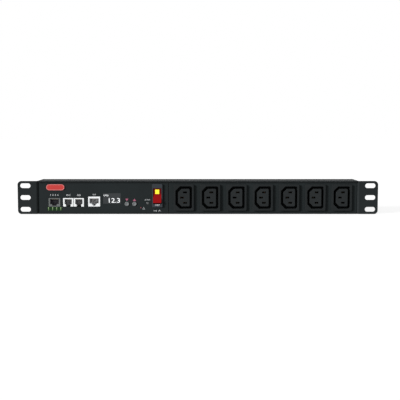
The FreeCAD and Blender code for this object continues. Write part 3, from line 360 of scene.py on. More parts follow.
@dataclass(frozen=True)
class FadedFinish(Finish):
    """A moulding whose colour gives way to a second one between two places; the rocker and the jack wells
    use it for painted shade.
    """

    second: Colour = (0.0, 0.0, 0.0)
    along: Along = Along.HEIGHT
    start: float = 0.0
    end: float = 1.0

    def paint(self, graph: Graph, place: Socket, broad: Socket) -> Socket:
        """Fade from the one colour to the other.

        Args:
            graph: The material's nodes.
            place: Object coordinates.
            broad: Slow noise.

        Returns:
            The colour.
        """
        body = super().paint(graph, place, broad)
        way = graph.add("SeparateXYZ", Vector=place).outputs[self.along.value]
        share = graph.span(way, (self.start, self.end), WHOLE)
        return graph.blend(share, body, opaque(self.second))


# Housing, outlets and breaker
ANODISED = Finish("black_anodised", shade(34, 37, 38), Texture.EXTRUDED, roughness=0.6, specular=0.04,
                  wear=0.06)
POWDER_COAT = Finish("black_powder_coat", shade(34, 38, 39), Texture.POWDER, roughness=0.65,
                     specular=0.08, wear=0.06)
PANEL_PAINT = Finish("black_panel_paint", shade(33, 38, 39), Texture.POWDER, roughness=0.65,
                     specular=0.08, wear=0.06)
OUTLET_BLACK = Finish("outlet_black", shade(34, 37, 38), Texture.MOULDED, roughness=0.55, specular=0.08,
                      wear=0.06)
CORE_BLACK = Finish("outlet_core_black", shade(38, 41, 42), Texture.MOULDED, roughness=0.6, specular=0.08,
                    wear=0.05)
BREAKER_GREY = Finish("breaker_dark_grey", shade(54, 58, 63), Texture.MOULDED, roughness=0.55,
                      specular=0.12, wear=0.05)
LENS_YELLOW = Finish("lens_yellow", shade(255, 226, 40), Texture.POLISHED, roughness=0.15, glow=0.35,
                     drift=0.05, wear=0.0)

# Badge, display, buttons and lights
BADGE_RED = Finish("badge_red", shade(196, 62, 58), Texture.POLISHED, roughness=0.35, specular=0.3,
                   drift=0.05, wear=0.0)
BADGE_RIM = Finish("badge_rim", shade(226, 150, 148), Texture.POLISHED, roughness=0.4, drift=0.04,
                   wear=0.0)
SMOKED = Finish("smoked_window", shade(52, 55, 57), Texture.POLISHED, roughness=0.18, specular=0.2,
                wear=0.0)
MODULE_BLACK = Finish("module_black", shade(30, 31, 33), Texture.MOULDED, roughness=0.5)
BUTTON_GREY = Finish("button_grey", shade(103, 107, 108), Texture.MOULDED, roughness=0.5, wear=0.1)
GREY_GUIDE = Finish("grey_light_guide", shade(84, 86, 87), Texture.POLISHED, roughness=0.25, wear=0.0)
RED_GUIDE = Finish("red_light_guide", shade(118, 58, 66), Texture.POLISHED, roughness=0.25, wear=0.0)

# Jacks: the Y of their faces, how far back a face's own colour reaches, and the painted shade that
# darkens the wells behind, strongest in the white jacks
JACK_FACE = -0.7 * MM
JACK_SKIN = 0.9 * MM
# Each second colour is painted shade inside the jack's well, not the plastic's own colour
JACK_GREY = FadedFinish("jack_grey", shade(94, 98, 97), Texture.MOULDED, roughness=0.5, wear=0.1,
                        second=shade(92, 88, 98), along=Along.DEPTH,
                        start=JACK_FACE + JACK_SKIN, end=JACK_FACE + JACK_SKIN * 2)
JACK_WHITE = FadedFinish("jack_white", shade(240, 243, 243), Texture.MOULDED, roughness=0.42, drift=0.03,
                         second=shade(156, 158, 161), along=Along.DEPTH,
                         start=JACK_FACE + JACK_SKIN, end=JACK_FACE + JACK_SKIN * 2)
INSERT_GREY = Finish("insert_grey", shade(196, 198, 200), Texture.MOULDED, roughness=0.5)
SHIELD = Finish("tinned_shield", shade(232, 235, 236), Texture.BRUSHED, roughness=0.45, metallic=0.6,
                drift=0.05)
GOLD = Finish("gold_plate", shade(170, 155, 120), Texture.BRUSHED, roughness=0.35, metallic=1.0)

# Metal, board and wires
BRASS = Finish("dull_brass", shade(70, 61, 45), Texture.BRUSHED, roughness=0.5, metallic=1.0)
COPPER = Finish("copper_bar", shade(200, 132, 98), Texture.BRUSHED, roughness=0.35, metallic=1.0)
ZINC = Finish("zinc_plate", shade(168, 170, 174), Texture.BRUSHED, roughness=0.32, metallic=1.0)
NICKEL = Finish("nickel_plate", shade(206, 203, 196), Texture.BRUSHED, roughness=0.25, metallic=1.0)
BOARD_GREEN = Finish("solder_mask", shade(20, 88, 48), Texture.POLISHED, roughness=0.35)
POTTED = Finish("potted_black", shade(30, 30, 32), Texture.POLISHED, roughness=0.4)
COIL_BLUE = Finish("transformer_blue", shade(38, 70, 130), Texture.MOULDED, roughness=0.45)
BROWN_WIRE = Finish("brown_insulation", shade(110, 66, 42), Texture.POLISHED, roughness=0.4)
BLUE_WIRE = Finish("blue_insulation", shade(36, 88, 170), Texture.POLISHED, roughness=0.4)
EARTH_WIRE = StripedFinish("earth_insulation", shade(70, 150, 50), Texture.POLISHED, roughness=0.4)

# Inks and the lit reading
WHITE_INK = Finish("white_ink", shade(214, 217, 218), Texture.MOULDED, roughness=0.6, drift=0.06,
                   wear=0.0)
GREY_INK = Finish("grey_ink", shade(136, 139, 140), Texture.MOULDED, roughness=0.6, drift=0.06, wear=0.0)
RED_INK = Finish("red_ink", shade(164, 86, 112), Texture.MOULDED, roughness=0.6, drift=0.06, wear=0.0)
GREEN_INK = Finish("dark_green_ink", shade(22, 50, 22), Texture.MOULDED, roughness=0.6, specular=0.1,
                   wear=0.0)
LIT_WHITE = Finish("lit_white", shade(244, 247, 248), Texture.POLISHED, roughness=0.4, glow=0.3,
                   drift=0.02, wear=0.0)


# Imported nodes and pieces

def soften(target: bpy.types.Object, width: float, segments: int) -> None:
    """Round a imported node's sharp edges a little, so that they catch the light.

    Args:
        target: The node.
        width: Width of the rounding.
        segments: Faces across it.
    """
    weld = target.modifiers.new("join_corners", "WELD")
    weld.merge_threshold = WELD_REACH
    flat = target.modifiers.new("join_flats", "DECIMATE")
    flat.decimate_type = "DISSOLVE"
    flat.angle_limit = FLAT_ANGLE
    bevel = target.modifiers.new("soft_edges", "BEVEL")
    bevel.width = width
    bevel.segments = segments
    bevel.limit_method = "ANGLE"
    bevel.angle_limit = EDGE_ANGLE
    shading = target.modifiers.new("even_shading", "WEIGHTED_NORMAL")
    shading.keep_sharp = False


def dress(node: str, finish: Finish, edge: float = 0.0, segments: int = 2) -> None:
    """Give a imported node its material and, where it has a width for them, its soft edges.

    Args:
        node: The node's name.
        finish: Its finish.
        edge: Width of its rounded edges; none leaves them as they are.
        segments: Faces across each rounded edge.
    """
    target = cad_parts[node]
    target.data.materials.clear()
    target.data.materials.append(finish.material())
    if edge:
        soften(target, edge, segments)
    LOG.info("dressed %s in %s", node, finish.name)


def add_object(name: str, data: bpy.types.ID) -> bpy.types.Object:
    """Put a mesh, lettering, a lamp or a camera into the scene.

    Args:
        name: The object's name.
        data: What it shows.

    Returns:
        The object.
    """
    item = bpy.data.objects.new(name, data)
    bpy.context.scene.collection.objects.link(item)
    return item


def finish_piece(name: str, mesh: bpy.types.Mesh, finish: Finish,
                 body: str = UNIT) -> bpy.types.Object:
    """Put a mesh into the scene as a piece of the unit.

    Args:
        name: The piece's name.
        mesh: Its mesh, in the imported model's frame.
        finish: Its finish.
        body: The body that it rides on.

    Returns:
        The piece.
    """
    mesh.name = name
    mesh.materials.clear()
    mesh.materials.append(finish.material())
    piece = add_object(name, mesh)
    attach(piece, body)
    LOG.info("built %s", name)
    return piece


# Meshes

def mesh_of(shape: bmesh.types.BMesh) -> bpy.types.Mesh:
    """Turn an edited mesh into mesh data with flat faces.

    Args:
        shape: The edited mesh, which is freed.

    Returns:
        The mesh data.
    """
    bmesh.ops.recalc_face_normals(shape, faces=shape.faces)
    for face in shape.faces:
        face.smooth = False
    mesh = bpy.data.meshes.new("piece")
    shape.to_mesh(mesh)
    shape.free()
    return mesh


def final_mesh(item: bpy.types.Object) -> bpy.types.Mesh:
    """Take the mesh that an object in the scene ends up with."""
    graph = bpy.context.evaluated_depsgraph_get()
    return bpy.data.meshes.new_from_object(item.evaluated_get(graph))


def smoothed(mesh: bpy.types.Mesh) -> bpy.types.Mesh:
    """Shade a mesh smooth, apart from its sharp edges.

    Args:
        mesh: The mesh, which is changed.

    Returns:
        The same mesh.
    """
    for face in mesh.polygons:
        face.use_smooth = True
    mesh.set_sharp_from_angle(angle=EDGE_ANGLE)
    return mesh


def prism(corners: list[Pair], front: float, depth: float) -> bpy.types.Mesh:
    """Fill an outline that faces the front.

    Args:
        corners: X and Z of each corner, in order.
        front: Y of the front face.
        depth: Thickness.

    Returns:
        The mesh.
    """
    shape = bmesh.new()
    near = [shape.verts.new((x, front, z)) for x, z in corners]
    far = [shape.verts.new((x, front + depth, z)) for x, z in corners]
    shape.faces.new(near)
    shape.faces.new(reversed(far))
    for index, corner in enumerate(near):
        after = (index + 1) % len(near)
        shape.faces.new((corner, far[index], far[after], near[after]))
    return mesh_of(shape)


def ring_prism(outer: list[Pair], inner: list[Pair], front: float, depth: float) -> bpy.types.Mesh:
    """Fill the band between two outlines of as many corners.

    Args:
        outer: X and Z of the outer corners.
        inner: X and Z of the inner corners.
        front: Y of the front face.
        depth: Thickness.

    Returns:
        The mesh.
    """
    shape = bmesh.new()
    loops = []
    for corners, y in ((outer, front), (inner, front), (inner, front + depth), (outer, front + depth)):
        loops.append([shape.verts.new((x, y, z)) for x, z in corners])
    for index in range(len(outer)):
        after = (index + 1) % len(outer)
        for one, two in zip(loops, loops[1:] + loops[:1]):
            shape.faces.new((one[index], one[after], two[after], two[index]))
    return mesh_of(shape)


def printed(text: str, centre: Pair, extent: Pair, front: float, depth: float,
            weight: float = 0.0) -> bpy.types.Mesh:
    """Make plain lettering that faces the front and fills a given extent.

    Args:
        text: What it says.
        centre: X and Z of its middle.
        extent: Its width and height.
        front: Y of its front face.
        depth: Thickness.
        weight: How much bolder the strokes are, as a share of the font size.

    Returns:
        The mesh.
    """
    curve = bpy.data.curves.new("lettering", "FONT")
    curve.body = text
    curve.offset = weight
    curve.extrude = LETTER_DEPTH
    curve.resolution_u = LETTER_STEPS
    holder = add_object("lettering", curve)
    mesh = final_mesh(holder)
    bpy.data.objects.remove(holder)
    shape = bmesh.new()
    shape.from_mesh(mesh)
    bpy.data.meshes.remove(mesh)
    bmesh.ops.remove_doubles(shape, verts=shape.verts, dist=LETTER_JOIN)
    places = [vertex.co.copy() for vertex in shape.verts]
    low = [min(place[axis] for place in places) for axis in range(3)]
    high = [max(place[axis] for place in places) for axis in range(3)]
    for vertex, place in zip(shape.verts, places):
        share = [(place[axis] - low[axis]) / (high[axis] - low[axis]) for axis in range(3)]
        vertex.co = (
            centre[0] + (share[0] - 0.5) * extent[0],
            front + (1 - share[2]) * depth,
            centre[1] + (share[1] - 0.5) * extent[1],
        )
    return mesh_of(shape)


def lathe(profile: list[Pair], steps: int) -> bmesh.types.BMesh:
    """Turn a profile about Z.

    Args:
        profile: Radius and height of each point; the first and last lie on the axis.
        steps: Faces round the axis.

    Returns:
        The edited mesh.
    """
    shape = bmesh.new()
    bottom = shape.verts.new((0, 0, profile[0][1]))
    top = shape.verts.new((0, 0, profile[-1][1]))
    rings = []
    for radius, height in profile[1:-1]:
        ring = []
        for step in range(steps):
            turn = 2 * math.pi * step / steps
            ring.append(shape.verts.new((radius * math.cos(turn), radius * math.sin(turn), height)))
        rings.append(ring)
    for step in range(steps):
        after = (step + 1) % steps
        shape.faces.new((bottom, rings[0][after], rings[0][step]))
        shape.faces.new((top, rings[-1][step], rings[-1][after]))
        for low, high in zip(rings, rings[1:]):
            shape.faces.new((low[step], low[after], high[after], high[step]))
    return shape


def rounded(wide: float, tall: float, steps: int) -> list[Pair]:
    """List the points of a quarter round, from its side to its top.

    Args:
        wide: Reach to the side.
        tall: Reach to the top.
        steps: Stretches between its points.

    Returns:
        Reach to the side and to the top of each point.
    """
    turns = [QUARTER_TURN * step / steps for step in range(steps + 1)]
    return [(wide * math.cos(turn), tall * math.sin(turn)) for turn in turns]


def carved(base: bpy.types.Mesh, cutter: bpy.types.Mesh) -> bpy.types.Mesh:
    """Take one mesh out of another.

    Args:
        base: The mesh that stays.
        cutter: What is taken out.

    Returns:
        The carved mesh.
    """
    stock = add_object("stock", base)
    tool = add_object("cutter", cutter)
    carve = stock.modifiers.new("carve", "BOOLEAN")
    carve.operation = "DIFFERENCE"
    carve.object = tool
    mesh = final_mesh(stock)
    for item in (stock, tool):
        bpy.data.objects.remove(item)
    return mesh


# Screws and turned pieces

class Facing(Enum):
    """Which side of the unit a set of screws is on, as the direction of their heads."""

    LEFT = (-1, 0, 0)
    RIGHT = (1, 0, 0)
    BACK = (0, 1, 0)


@dataclass
class PanScrews:
    """A set of cross-recess pan-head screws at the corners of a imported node's box.

    The shank's point and the recess's floor are shares of their full widths. The turns, in radians, set
    each screw's cross its own way.
    """

    node: str
    facing: Facing
    head_radius: float = 2.8 * MM
    head_height: float = 1.8 * MM
    crown: float = 1.0 * MM
    crown_steps: int = 5
    shank_radius: float = 1.5 * MM
    shank_length: float = 9.0 * MM
    shank_point: float = 0.8
    shank_chamfer: float = 0.4 * MM
    recess_span: float = 3.2 * MM
    recess_width: float = 0.75 * MM
    recess_depth: float = 1.1 * MM
    recess_floor: float = 0.55
    recess_clearance: float = 1.0 * MM
    first_turn: float = 0.3
    next_turn: float = 0.7
    steps: int = 32

    def one(self) -> bpy.types.Mesh:
        """Build one screw, with its seat at the origin and its head up along Z.

        Returns:
            The mesh.
        """
        edge = self.head_radius - self.crown
        top = self.head_height - self.crown
        corner = rounded(self.crown, self.crown, self.crown_steps)
        profile = [
            (0, -self.shank_length),
            (self.shank_radius * self.shank_point, -self.shank_length),
            (self.shank_radius, -self.shank_length + self.shank_chamfer),
            (self.shank_radius, 0),
            (self.head_radius, 0),
            *((edge + side, top + rise) for side, rise in corner),
            (0, self.head_height),
        ]
        screw = mesh_of(lathe(profile, self.steps))
        for turn in (0.0, QUARTER_TURN):
            screw = carved(screw, self.recess(turn))
        return screw

    def recess(self, turn: float) -> bpy.types.Mesh:
        """Shape one arm of the cross, narrower at its floor.

        Args:
            turn: Its direction about the screw's axis.

        Returns:
            The mesh of what is taken out.
        """
        shape = bmesh.new()
        bmesh.ops.create_cube(shape, size=1)
        for vertex in shape.verts:
            above = vertex.co.z > 0
            share = 1.0 if above else self.recess_floor
            vertex.co.x *= self.recess_span * share
            vertex.co.y *= self.recess_width * share
            vertex.co.z = self.head_height + (self.recess_clearance if above else -self.recess_depth)
        bmesh.ops.rotate(shape, verts=shape.verts, matrix=Matrix.Rotation(turn, 3, "Z"))
        return mesh_of(shape)

    def places(self) -> list[Vector]:
        """Read the screws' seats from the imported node's box.

        Returns:
            One point for each screw.
        """
        low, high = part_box(self.node)
        reach = self.head_radius
        if self.facing is Facing.BACK:
            seat = high.y - self.head_height
            return [Vector((x, seat, (low.z + high.z) / 2)) for x in (low.x + reach, high.x - reach)]
        seat = high.x - self.head_height if self.facing is Facing.RIGHT else low.x + self.head_height
        rows = (low.y + reach, high.y - reach)
        return [Vector((seat, y, z)) for y in rows for z in (low.z + reach, high.z - reach)]

    def build(self) -> bpy.types.Object:
        """Set a screw at each place, each turned its own way, and join them.

        Returns:
            The piece that stands for the node.
        """
        upright = Vector((0, 0, 1)).rotation_difference(Vector(self.facing.value)).to_matrix().to_4x4()
        one = self.one()
        joined = bmesh.new()
        for number, place in enumerate(self.places()):
            copy = one.copy()
            spin = Matrix.Rotation(self.next_turn * number + self.first_turn, 4, "Z")
            copy.transform(Matrix.Translation(place) @ upright @ spin)
            joined.from_mesh(copy)
            bpy.data.meshes.remove(copy)
        mesh = bpy.data.meshes.new("piece")
        joined.to_mesh(mesh)
        joined.free()
        piece = finish_piece(f"{self.node}_detailed", smoothed(mesh), ZINC)
        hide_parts(self.node)
        return piece


@dataclass
class TurnedPart:
    """A round piece through the control fascia, with a collar behind it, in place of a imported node."""

    node: str
    body: str
    slot: str
    finish: Finish
    collar: float
    collar_thickness: float = 0.8 * MM
    tip_steps: int = 8
    steps: int = 48

    def tip(self, radius: float, front: float) -> list[Pair]:
        """Draw what shows in front of the fascia.

        Args:
            radius: Radius of the piece.
            front: Y of its foremost point.

        Returns:
            Radius and Y of each point, from the side to the middle.
        """
        raise NotImplementedError

    def foot(self, radius: float, collar_back: float, back: float) -> list[Pair]:
        """Draw what stands behind the collar.

        Args:
            radius: Radius of the piece.
            collar_back: Y of the collar's back.
            back: Y of the far end.

        Returns:
            Radius and Y of each point, from the far end to the collar.
        """
        return [(0.0, back), (radius, back), (radius, collar_back)]

    def collar_front(self) -> float:
        """Find the Y of the collar's front face."""
        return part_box("control_fascia")[1].y

    def build(self) -> bpy.types.Object:
        """Turn the piece in its node's place.

        Returns:
            The piece that stands for the node.
        """
        low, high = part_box(self.node)
        wide = (high.x - low.x) / 2
        radius = wide - self.collar
        near = self.collar_front()
        far = near + self.collar_thickness
        profile = [
            *self.foot(radius, far, high.y),
            (wide, far),
            (wide, near),
            (radius, near),
            *self.tip(radius, low.y),
        ]
        shape = lathe([(reach, -y) for reach, y in profile], self.steps)
        bmesh.ops.rotate(shape, verts=shape.verts, matrix=Matrix.Rotation(QUARTER_TURN, 3, "X"))
        centre = Vector(((low.x + high.x) / 2, 0.0, (low.z + high.z) / 2))
        bmesh.ops.translate(shape, verts=shape.verts, vec=centre)
        mesh = smoothed(mesh_of(shape))
        piece = finish_piece(f"{self.node}_turned", mesh, self.finish, self.body)
        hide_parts(self.node)
        return piece


@dataclass
class PressButton(TurnedPart):
    """A key with a dished face and a stem into its switch."""

    collar: float = 0.9 * MM
    collar_play: float = 0.1 * MM
    edge: float = 0.5 * MM
    dish: float = 0.4 * MM
    stem_radius: float = 1.5 * MM

    def collar_front(self) -> float:
        """Find the Y of the collar's front face, which leaves some play behind the fascia."""
        return super().collar_front() + self.collar_play

    def tip(self, radius: float, front: float) -> list[Pair]:
        """Round the rim and dish the face.

        Args:
            radius: Radius of the key.
            front: Y of its rim.

        Returns:
            Radius and Y of each point, from the side to the middle.
        """
        face = radius - self.edge
        corner = rounded(self.edge, self.edge, self.tip_steps)
        rim = [(face + side, front + self.edge - rise) for side, rise in corner]
        shares = [1 - (step + 1) / self.tip_steps for step in range(self.tip_steps)]
        return rim + [(face * share, front + self.dish * (1 - share ** 2)) for share in shares]

    def foot(self, radius: float, collar_back: float, back: float) -> list[Pair]:
        """Draw the stem, which is thinner than the key."""
        return super().foot(self.stem_radius, collar_back, back)


@dataclass
class LightGuide(TurnedPart):
    """A clear rod with a domed tip."""

    collar: float = 0.7 * MM
    dome: float = 0.7 * MM

    def tip(self, radius: float, front: float) -> list[Pair]:
        """Round the tip off."""
        points = rounded(radius, self.dome, self.tip_steps)
        return [(side, front + self.dome - rise) for side, rise in points[:-1]] + [(0.0, front)]


# Sub-assemblies

class SubAssembly:
    """A group of the unit's pieces, which takes what it needs of the two steps."""

    def build(self) -> None:
        """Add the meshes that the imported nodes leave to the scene."""

    def dress(self) -> None:
        """Give the group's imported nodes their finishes."""


@dataclass
class Housing(SubAssembly):
    """Profile, ears and fascias."""

    profile_edge: float = 0.25 * MM
    ear_edge: float = 0.3 * MM
    fascia_edge: float = 0.3 * MM

    def build(self) -> None:
        """Add the screws that hold the ears to the profile."""
        PanScrews("left_bracket_screws", Facing.LEFT).build()
        PanScrews("right_bracket_screws", Facing.RIGHT).build()

    def dress(self) -> None:
        """Give the metalwork its coats and soft edges."""
        dress("housing_profile", ANODISED, self.profile_edge)
        for side in ("left", "right"):
            dress(f"{side}_ear_bracket", POWDER_COAT, self.ear_edge)
        for node in ("control_fascia", "outlet_fascia"):
            dress(node, PANEL_PAINT, self.fascia_edge)


@dataclass
class Outlets(SubAssembly):
    """The row of keyed outlets, with their contacts and busbars."""

    shell_edge: float = 0.45 * MM
    core_edge: float = 0.4 * MM

    def dress(self) -> None:
        """Give the mouldings and the metal behind them their finishes."""
        for number in range(1, OUTLET_COUNT + 1):
            dress(f"outlet_{number}_shell", OUTLET_BLACK, self.shell_edge, segments=3)
            dress(f"outlet_{number}_core", CORE_BLACK, self.core_edge)
        for pole in ("live", "neutral", "earth"):
            dress(f"{pole}_contacts", BRASS)
            dress(f"{pole}_busbar", COPPER)


@dataclass
class Breaker(SubAssembly):
    """Rocker breaker with its lit lens and the mark on its bezel."""

    case_edge: float = 0.35 * MM
    rocker_edge: float = 0.5 * MM
    # Height over which painted shade darkens the rocker's upper half
    rocker_shade_fade: float = 3.0 * MM
    ink: float = 0.05 * MM
    bezel_text: str = "OFF"
    bezel_text_extent: Pair = (6.4 * MM, 2.2 * MM)
    bezel_text_rise: float = 2.9 * MM

    def build(self) -> None:
        """Print the bezel."""
        low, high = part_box("breaker_case")
        centre = ((low.x + high.x) / 2, low.z + self.bezel_text_rise)
        mesh = printed(self.bezel_text, centre, self.bezel_text_extent, low.y - self.ink / 2, self.ink)
        finish_piece("bezel_mark", mesh, WHITE_INK)

    def rocker_finish(self) -> Finish:
        """Mix the rocker's red, with painted shade that darkens it from the lens's foot upwards.

        Returns:
            The finish.
        """
        lens_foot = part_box("rocker_lens")[0].z
        half_fade = self.rocker_shade_fade / 2
        # The second, darker red is painted shade on the rocker's upper half, not the moulding's own
        # colour
        return FadedFinish("rocker_red", shade(140, 8, 12), Texture.MOULDED, roughness=0.4, specular=0.1,
                           wear=0.0, second=shade(92, 6, 8), along=Along.HEIGHT,
                           start=lens_foot - half_fade, end=lens_foot + half_fade)

    def dress(self) -> None:
        """Give the case, rocker, lens and blades their finishes."""
        dress("breaker_case", BREAKER_GREY, self.case_edge)
        dress("breaker_rocker", self.rocker_finish(), self.rocker_edge, segments=3)
        dress("rocker_lens", LENS_YELLOW, self.rocker_edge / 2)
        dress("breaker_terminals", BRASS)


@dataclass
class Display(SubAssembly):
    """Smoked window with its reading and unit."""

    window_edge: float = 0.2 * MM
    ink: float = 0.04 * MM
    weight: float = 0.004
    reading: str = "12.3"
    reading_extent: Pair = (14.9 * MM, 6.2 * MM)
    reading_inset: Pair = (1.3 * MM, 1.6 * MM)
    unit: str = "(A)"
    unit_extent: Pair = (6.2 * MM, 2.9 * MM)
    unit_inset: Pair = (1.2 * MM, 1.7 * MM)

    def build(self) -> None:
        """Light the reading up on the window."""
        low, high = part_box("display_window")
        front = low.y - self.ink / 2
        wide, tall = self.reading_extent
        centre = (high.x - self.reading_inset[0] - wide / 2, low.z + self.reading_inset[1] + tall / 2)
        mesh = printed(self.reading, centre, self.reading_extent, front, self.ink, self.weight)
        finish_piece("display_reading", mesh, LIT_WHITE)
        wide, tall = self.unit_extent
        centre = (low.x + self.unit_inset[0] + wide / 2, high.z - self.unit_inset[1] - tall / 2)
        mesh = printed(self.unit, centre, self.unit_extent, front, self.ink, self.weight)
        finish_piece("display_unit", mesh, LIT_WHITE)

    def dress(self) -> None:
        """Give the window and its module their finishes."""
        dress("display_window", SMOKED, self.window_edge)
        dress("display_module", MODULE_BLACK)


@dataclass
class Jacks(SubAssembly):
    """Modular jacks with their contact wires."""

    moulded_edge: float = 0.25 * MM
    shield_edge: float = 0.12 * MM

    def dress(self) -> None:
        """Give the jacks their finishes."""
        for node, finish in (("sensor_jack", JACK_GREY), ("serial_jack_1", JACK_WHITE),
                             ("serial_jack_2", JACK_WHITE), ("lan_jack_insert", INSERT_GREY)):
            dress(node, finish, self.moulded_edge)
        dress("lan_jack_shell", SHIELD, self.shield_edge)
        for node in ("sensor_jack_contacts", "serial_jack_contacts", "lan_jack_contacts"):
            dress(node, GOLD)


@dataclass
class Keys(SubAssembly):
    """Buttons, light guides and the badge."""

    buttons: tuple[str, ...] = ("button_down", "button_up")
    lights: tuple[tuple[str, Finish], ...] = (("status_led", GREY_GUIDE), ("alarm_led", RED_GUIDE))
    guide_edge: float = 0.25 * MM
    bar_count: int = 4
    bar_width: float = 1.4 * MM
    field_margin: float = 0.9 * MM
    ink: float = 0.04 * MM
    badge_edge: float = 0.3 * MM
    rim_width: float = 0.5 * MM
    rim_height: float = 0.12 * MM
    rim_steps: int = 24

    def pill(self, inset: float) -> list[Pair]:
        """Outline the badge, moved in by an inset.

        Args:
            inset: Distance from the badge's edge.

        Returns:
            X and Z of each corner.
        """
        low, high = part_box("badge_plate")
        middle = (low.z + high.z) / 2
        radius = (high.z - low.z) / 2
        reach = radius - inset
        corners = []
        for centre, start in ((high.x - radius, -QUARTER_TURN), (low.x + radius, QUARTER_TURN)):
            for step in range(self.rim_steps + 1):
                turn = start + math.pi * step / self.rim_steps
                corners.append((centre + reach * math.cos(turn), middle + reach * math.sin(turn)))
        return corners

    def build(self) -> None:
        """Turn the buttons and light guides, and add the badge's pale rim and the bars' field."""
        for node in self.buttons:
            PressButton(node, body=node, slot="button", finish=BUTTON_GREY).build()
        for node, finish in self.lights:
            LightGuide(node, body=UNIT, slot=node, finish=finish).build()
        low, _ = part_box("badge_plate")
        mesh = ring_prism(self.pill(self.badge_edge), self.pill(self.badge_edge + self.rim_width),
                          low.y - self.rim_height / 2, self.rim_height)
        finish_piece("badge_rim", mesh, BADGE_RIM)
        self.bar_field()

    def bar_field(self) -> None:
        """Print a dark green field round the bars."""
        low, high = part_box("channel_leds")
        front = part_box("control_fascia")[0].y - self.ink / 2
        pitch = (high.x - low.x - self.bar_width) / (self.bar_count - 1)
        edges = [low.x - self.field_margin]
        for number in range(self.bar_count):
            edges += [low.x + pitch * number, low.x + pitch * number + self.bar_width]
        edges.append(high.x + self.field_margin)
        patches = bmesh.new()
        for left, right in zip(edges[::2], edges[1::2]):
            corners = [(left, low.z), (right, low.z), (right, high.z), (left, high.z)]
            patch = prism(corners, front, self.ink)
            patches.from_mesh(patch)
            bpy.data.meshes.remove(patch)
        finish_piece("channel_field", mesh_of(patches), GREEN_INK)

    def bar_finish(self) -> Finish:
        """Mix the bars' green, which fades from their tops to their feet.

        Returns:
            The finish.
        """
        low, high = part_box("channel_leds")
        return FadedFinish("green_light_guide", shade(140, 170, 118), Texture.POLISHED, roughness=0.3,
                           drift=0.05, wear=0.0, second=shade(34, 66, 30), along=Along.HEIGHT,
                           start=high.z, end=low.z)

    def dress(self) -> None:
        """Give the switches, bars and badge their finishes."""
        dress("button_switches", MODULE_BLACK)
        dress("channel_leds", self.bar_finish(), self.guide_edge, segments=3)
        dress("badge_plate", BADGE_RED, self.badge_edge, segments=3)


@dataclass(frozen=True)
class Label:
    """A printed word or number, and how far its middle is above and beside a node's top middle."""

    node: str
    text: str
    extent: Pair
    rise: float
    shift: float = 0.0


@dataclass
class Markings(SubAssembly):
    """Plain printed marks on the control fascia."""

    ink: float = 0.04 * MM
    labels: tuple[Label, ...] = (
        Label("sensor_jack", "1 2 3 4", (10.6 * MM, 2.2 * MM), rise=4.3 * MM),
        Label("serial_jack_1", "01", (5.0 * MM, 2.1 * MM), rise=4.0 * MM),
        Label("serial_jack_2", "02", (5.0 * MM, 2.1 * MM), rise=4.0 * MM),
        Label("lan_jack_shell", "03", (4.0 * MM, 1.8 * MM), rise=2.7 * MM),
        Label("status_led", "ON/OFF", (7.2 * MM, 1.5 * MM), rise=2.3 * MM, shift=-0.5 * MM),
    )
    rating: str = "16 A"
    rating_extent: Pair = (9.2 * MM, 1.9 * MM)
    rating_drop: float = 4.75 * MM
    arrow_extent: Pair = (4.3 * MM, 3.1 * MM)
    arrow_gap: float = 1.6 * MM
    sign_extent: Pair = (3.9 * MM, 3.6 * MM)
    sign_line: float = 0.4
    sign_offset: Pair = (3.7 * MM, -0.5 * MM)

    def front(self) -> float:
        """Find the Y of the ink's front face."""
        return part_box("control_fascia")[0].y - self.ink / 2

    def triangle(self, centre: Pair, extent: Pair, scale: float = 1.0) -> list[Pair]:
        """Draw an upright triangle about a point.

        Args:
            centre: X and Z of the middle of its box.
            extent: Width and height; a negative height points it down.
            scale: Size about its centroid.

        Returns:
            X and Z of each corner.
        """
        wide, tall = extent
        centroid = centre[1] - tall / 6
        corners = ((-wide / 2, -tall / 3), (wide / 2, -tall / 3), (0.0, tall * 2 / 3))
        return [(centre[0] + x * scale, centroid + z * scale) for x, z in corners]

    def build(self) -> None:
        """Print the words, the arrows over the buttons and the sign by the small red light."""
        self.words()
        self.arrows()
        self.sign()

    def words(self) -> None:
        """Print the labels over their nodes, and the rating under the breaker."""
        front = self.front()
        for label in self.labels:
            low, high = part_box(label.node)
            centre = ((low.x + high.x) / 2 + label.shift, high.z + label.rise)
            mesh = printed(label.text, centre, label.extent, front, self.ink)
            finish_piece(f"{label.node}_label", mesh, WHITE_INK)
        low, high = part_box("breaker_case")
        centre = ((low.x + high.x) / 2, low.z - self.rating_drop)
        mesh = printed(self.rating, centre, self.rating_extent, front, self.ink)
        finish_piece("breaker_label", mesh, WHITE_INK)

    def arrows(self) -> None:
        """Print an arrow over each button."""
        wide, tall = self.arrow_extent
        for node, direction in (("button_down", -1), ("button_up", 1)):
            low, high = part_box(node)
            centre = ((low.x + high.x) / 2, high.z + self.arrow_gap)
            mesh = prism(self.triangle(centre, (wide, tall * direction)), self.front(), self.ink)
            finish_piece(f"{node}_arrow", mesh, RED_INK)

    def sign(self) -> None:
        """Print the open triangle by the small red light."""
        low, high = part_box("alarm_led")
        shift, rise = self.sign_offset
        centre = ((low.x + high.x) / 2 + shift, (low.z + high.z) / 2 + rise)
        outer = self.triangle(centre, self.sign_extent)
        inner = self.triangle(centre, self.sign_extent, self.sign_line)
        mesh = ring_prism(outer, inner, self.front(), self.ink)
        finish_piece("alarm_sign", mesh, GREY_INK)


@dataclass
class Inlet(SubAssembly):
    """Mains inlet at the back."""

    edge: float = 0.4 * MM

    def build(self) -> None:
        """Add the screws that hold its flange."""
        PanScrews("inlet_screws", Facing.BACK).build()

    def dress(self) -> None:
        """Give the moulding and the pins their finishes."""
        dress("inlet_shell", OUTLET_BLACK, self.edge)
        dress("inlet_pins", NICKEL, self.edge)


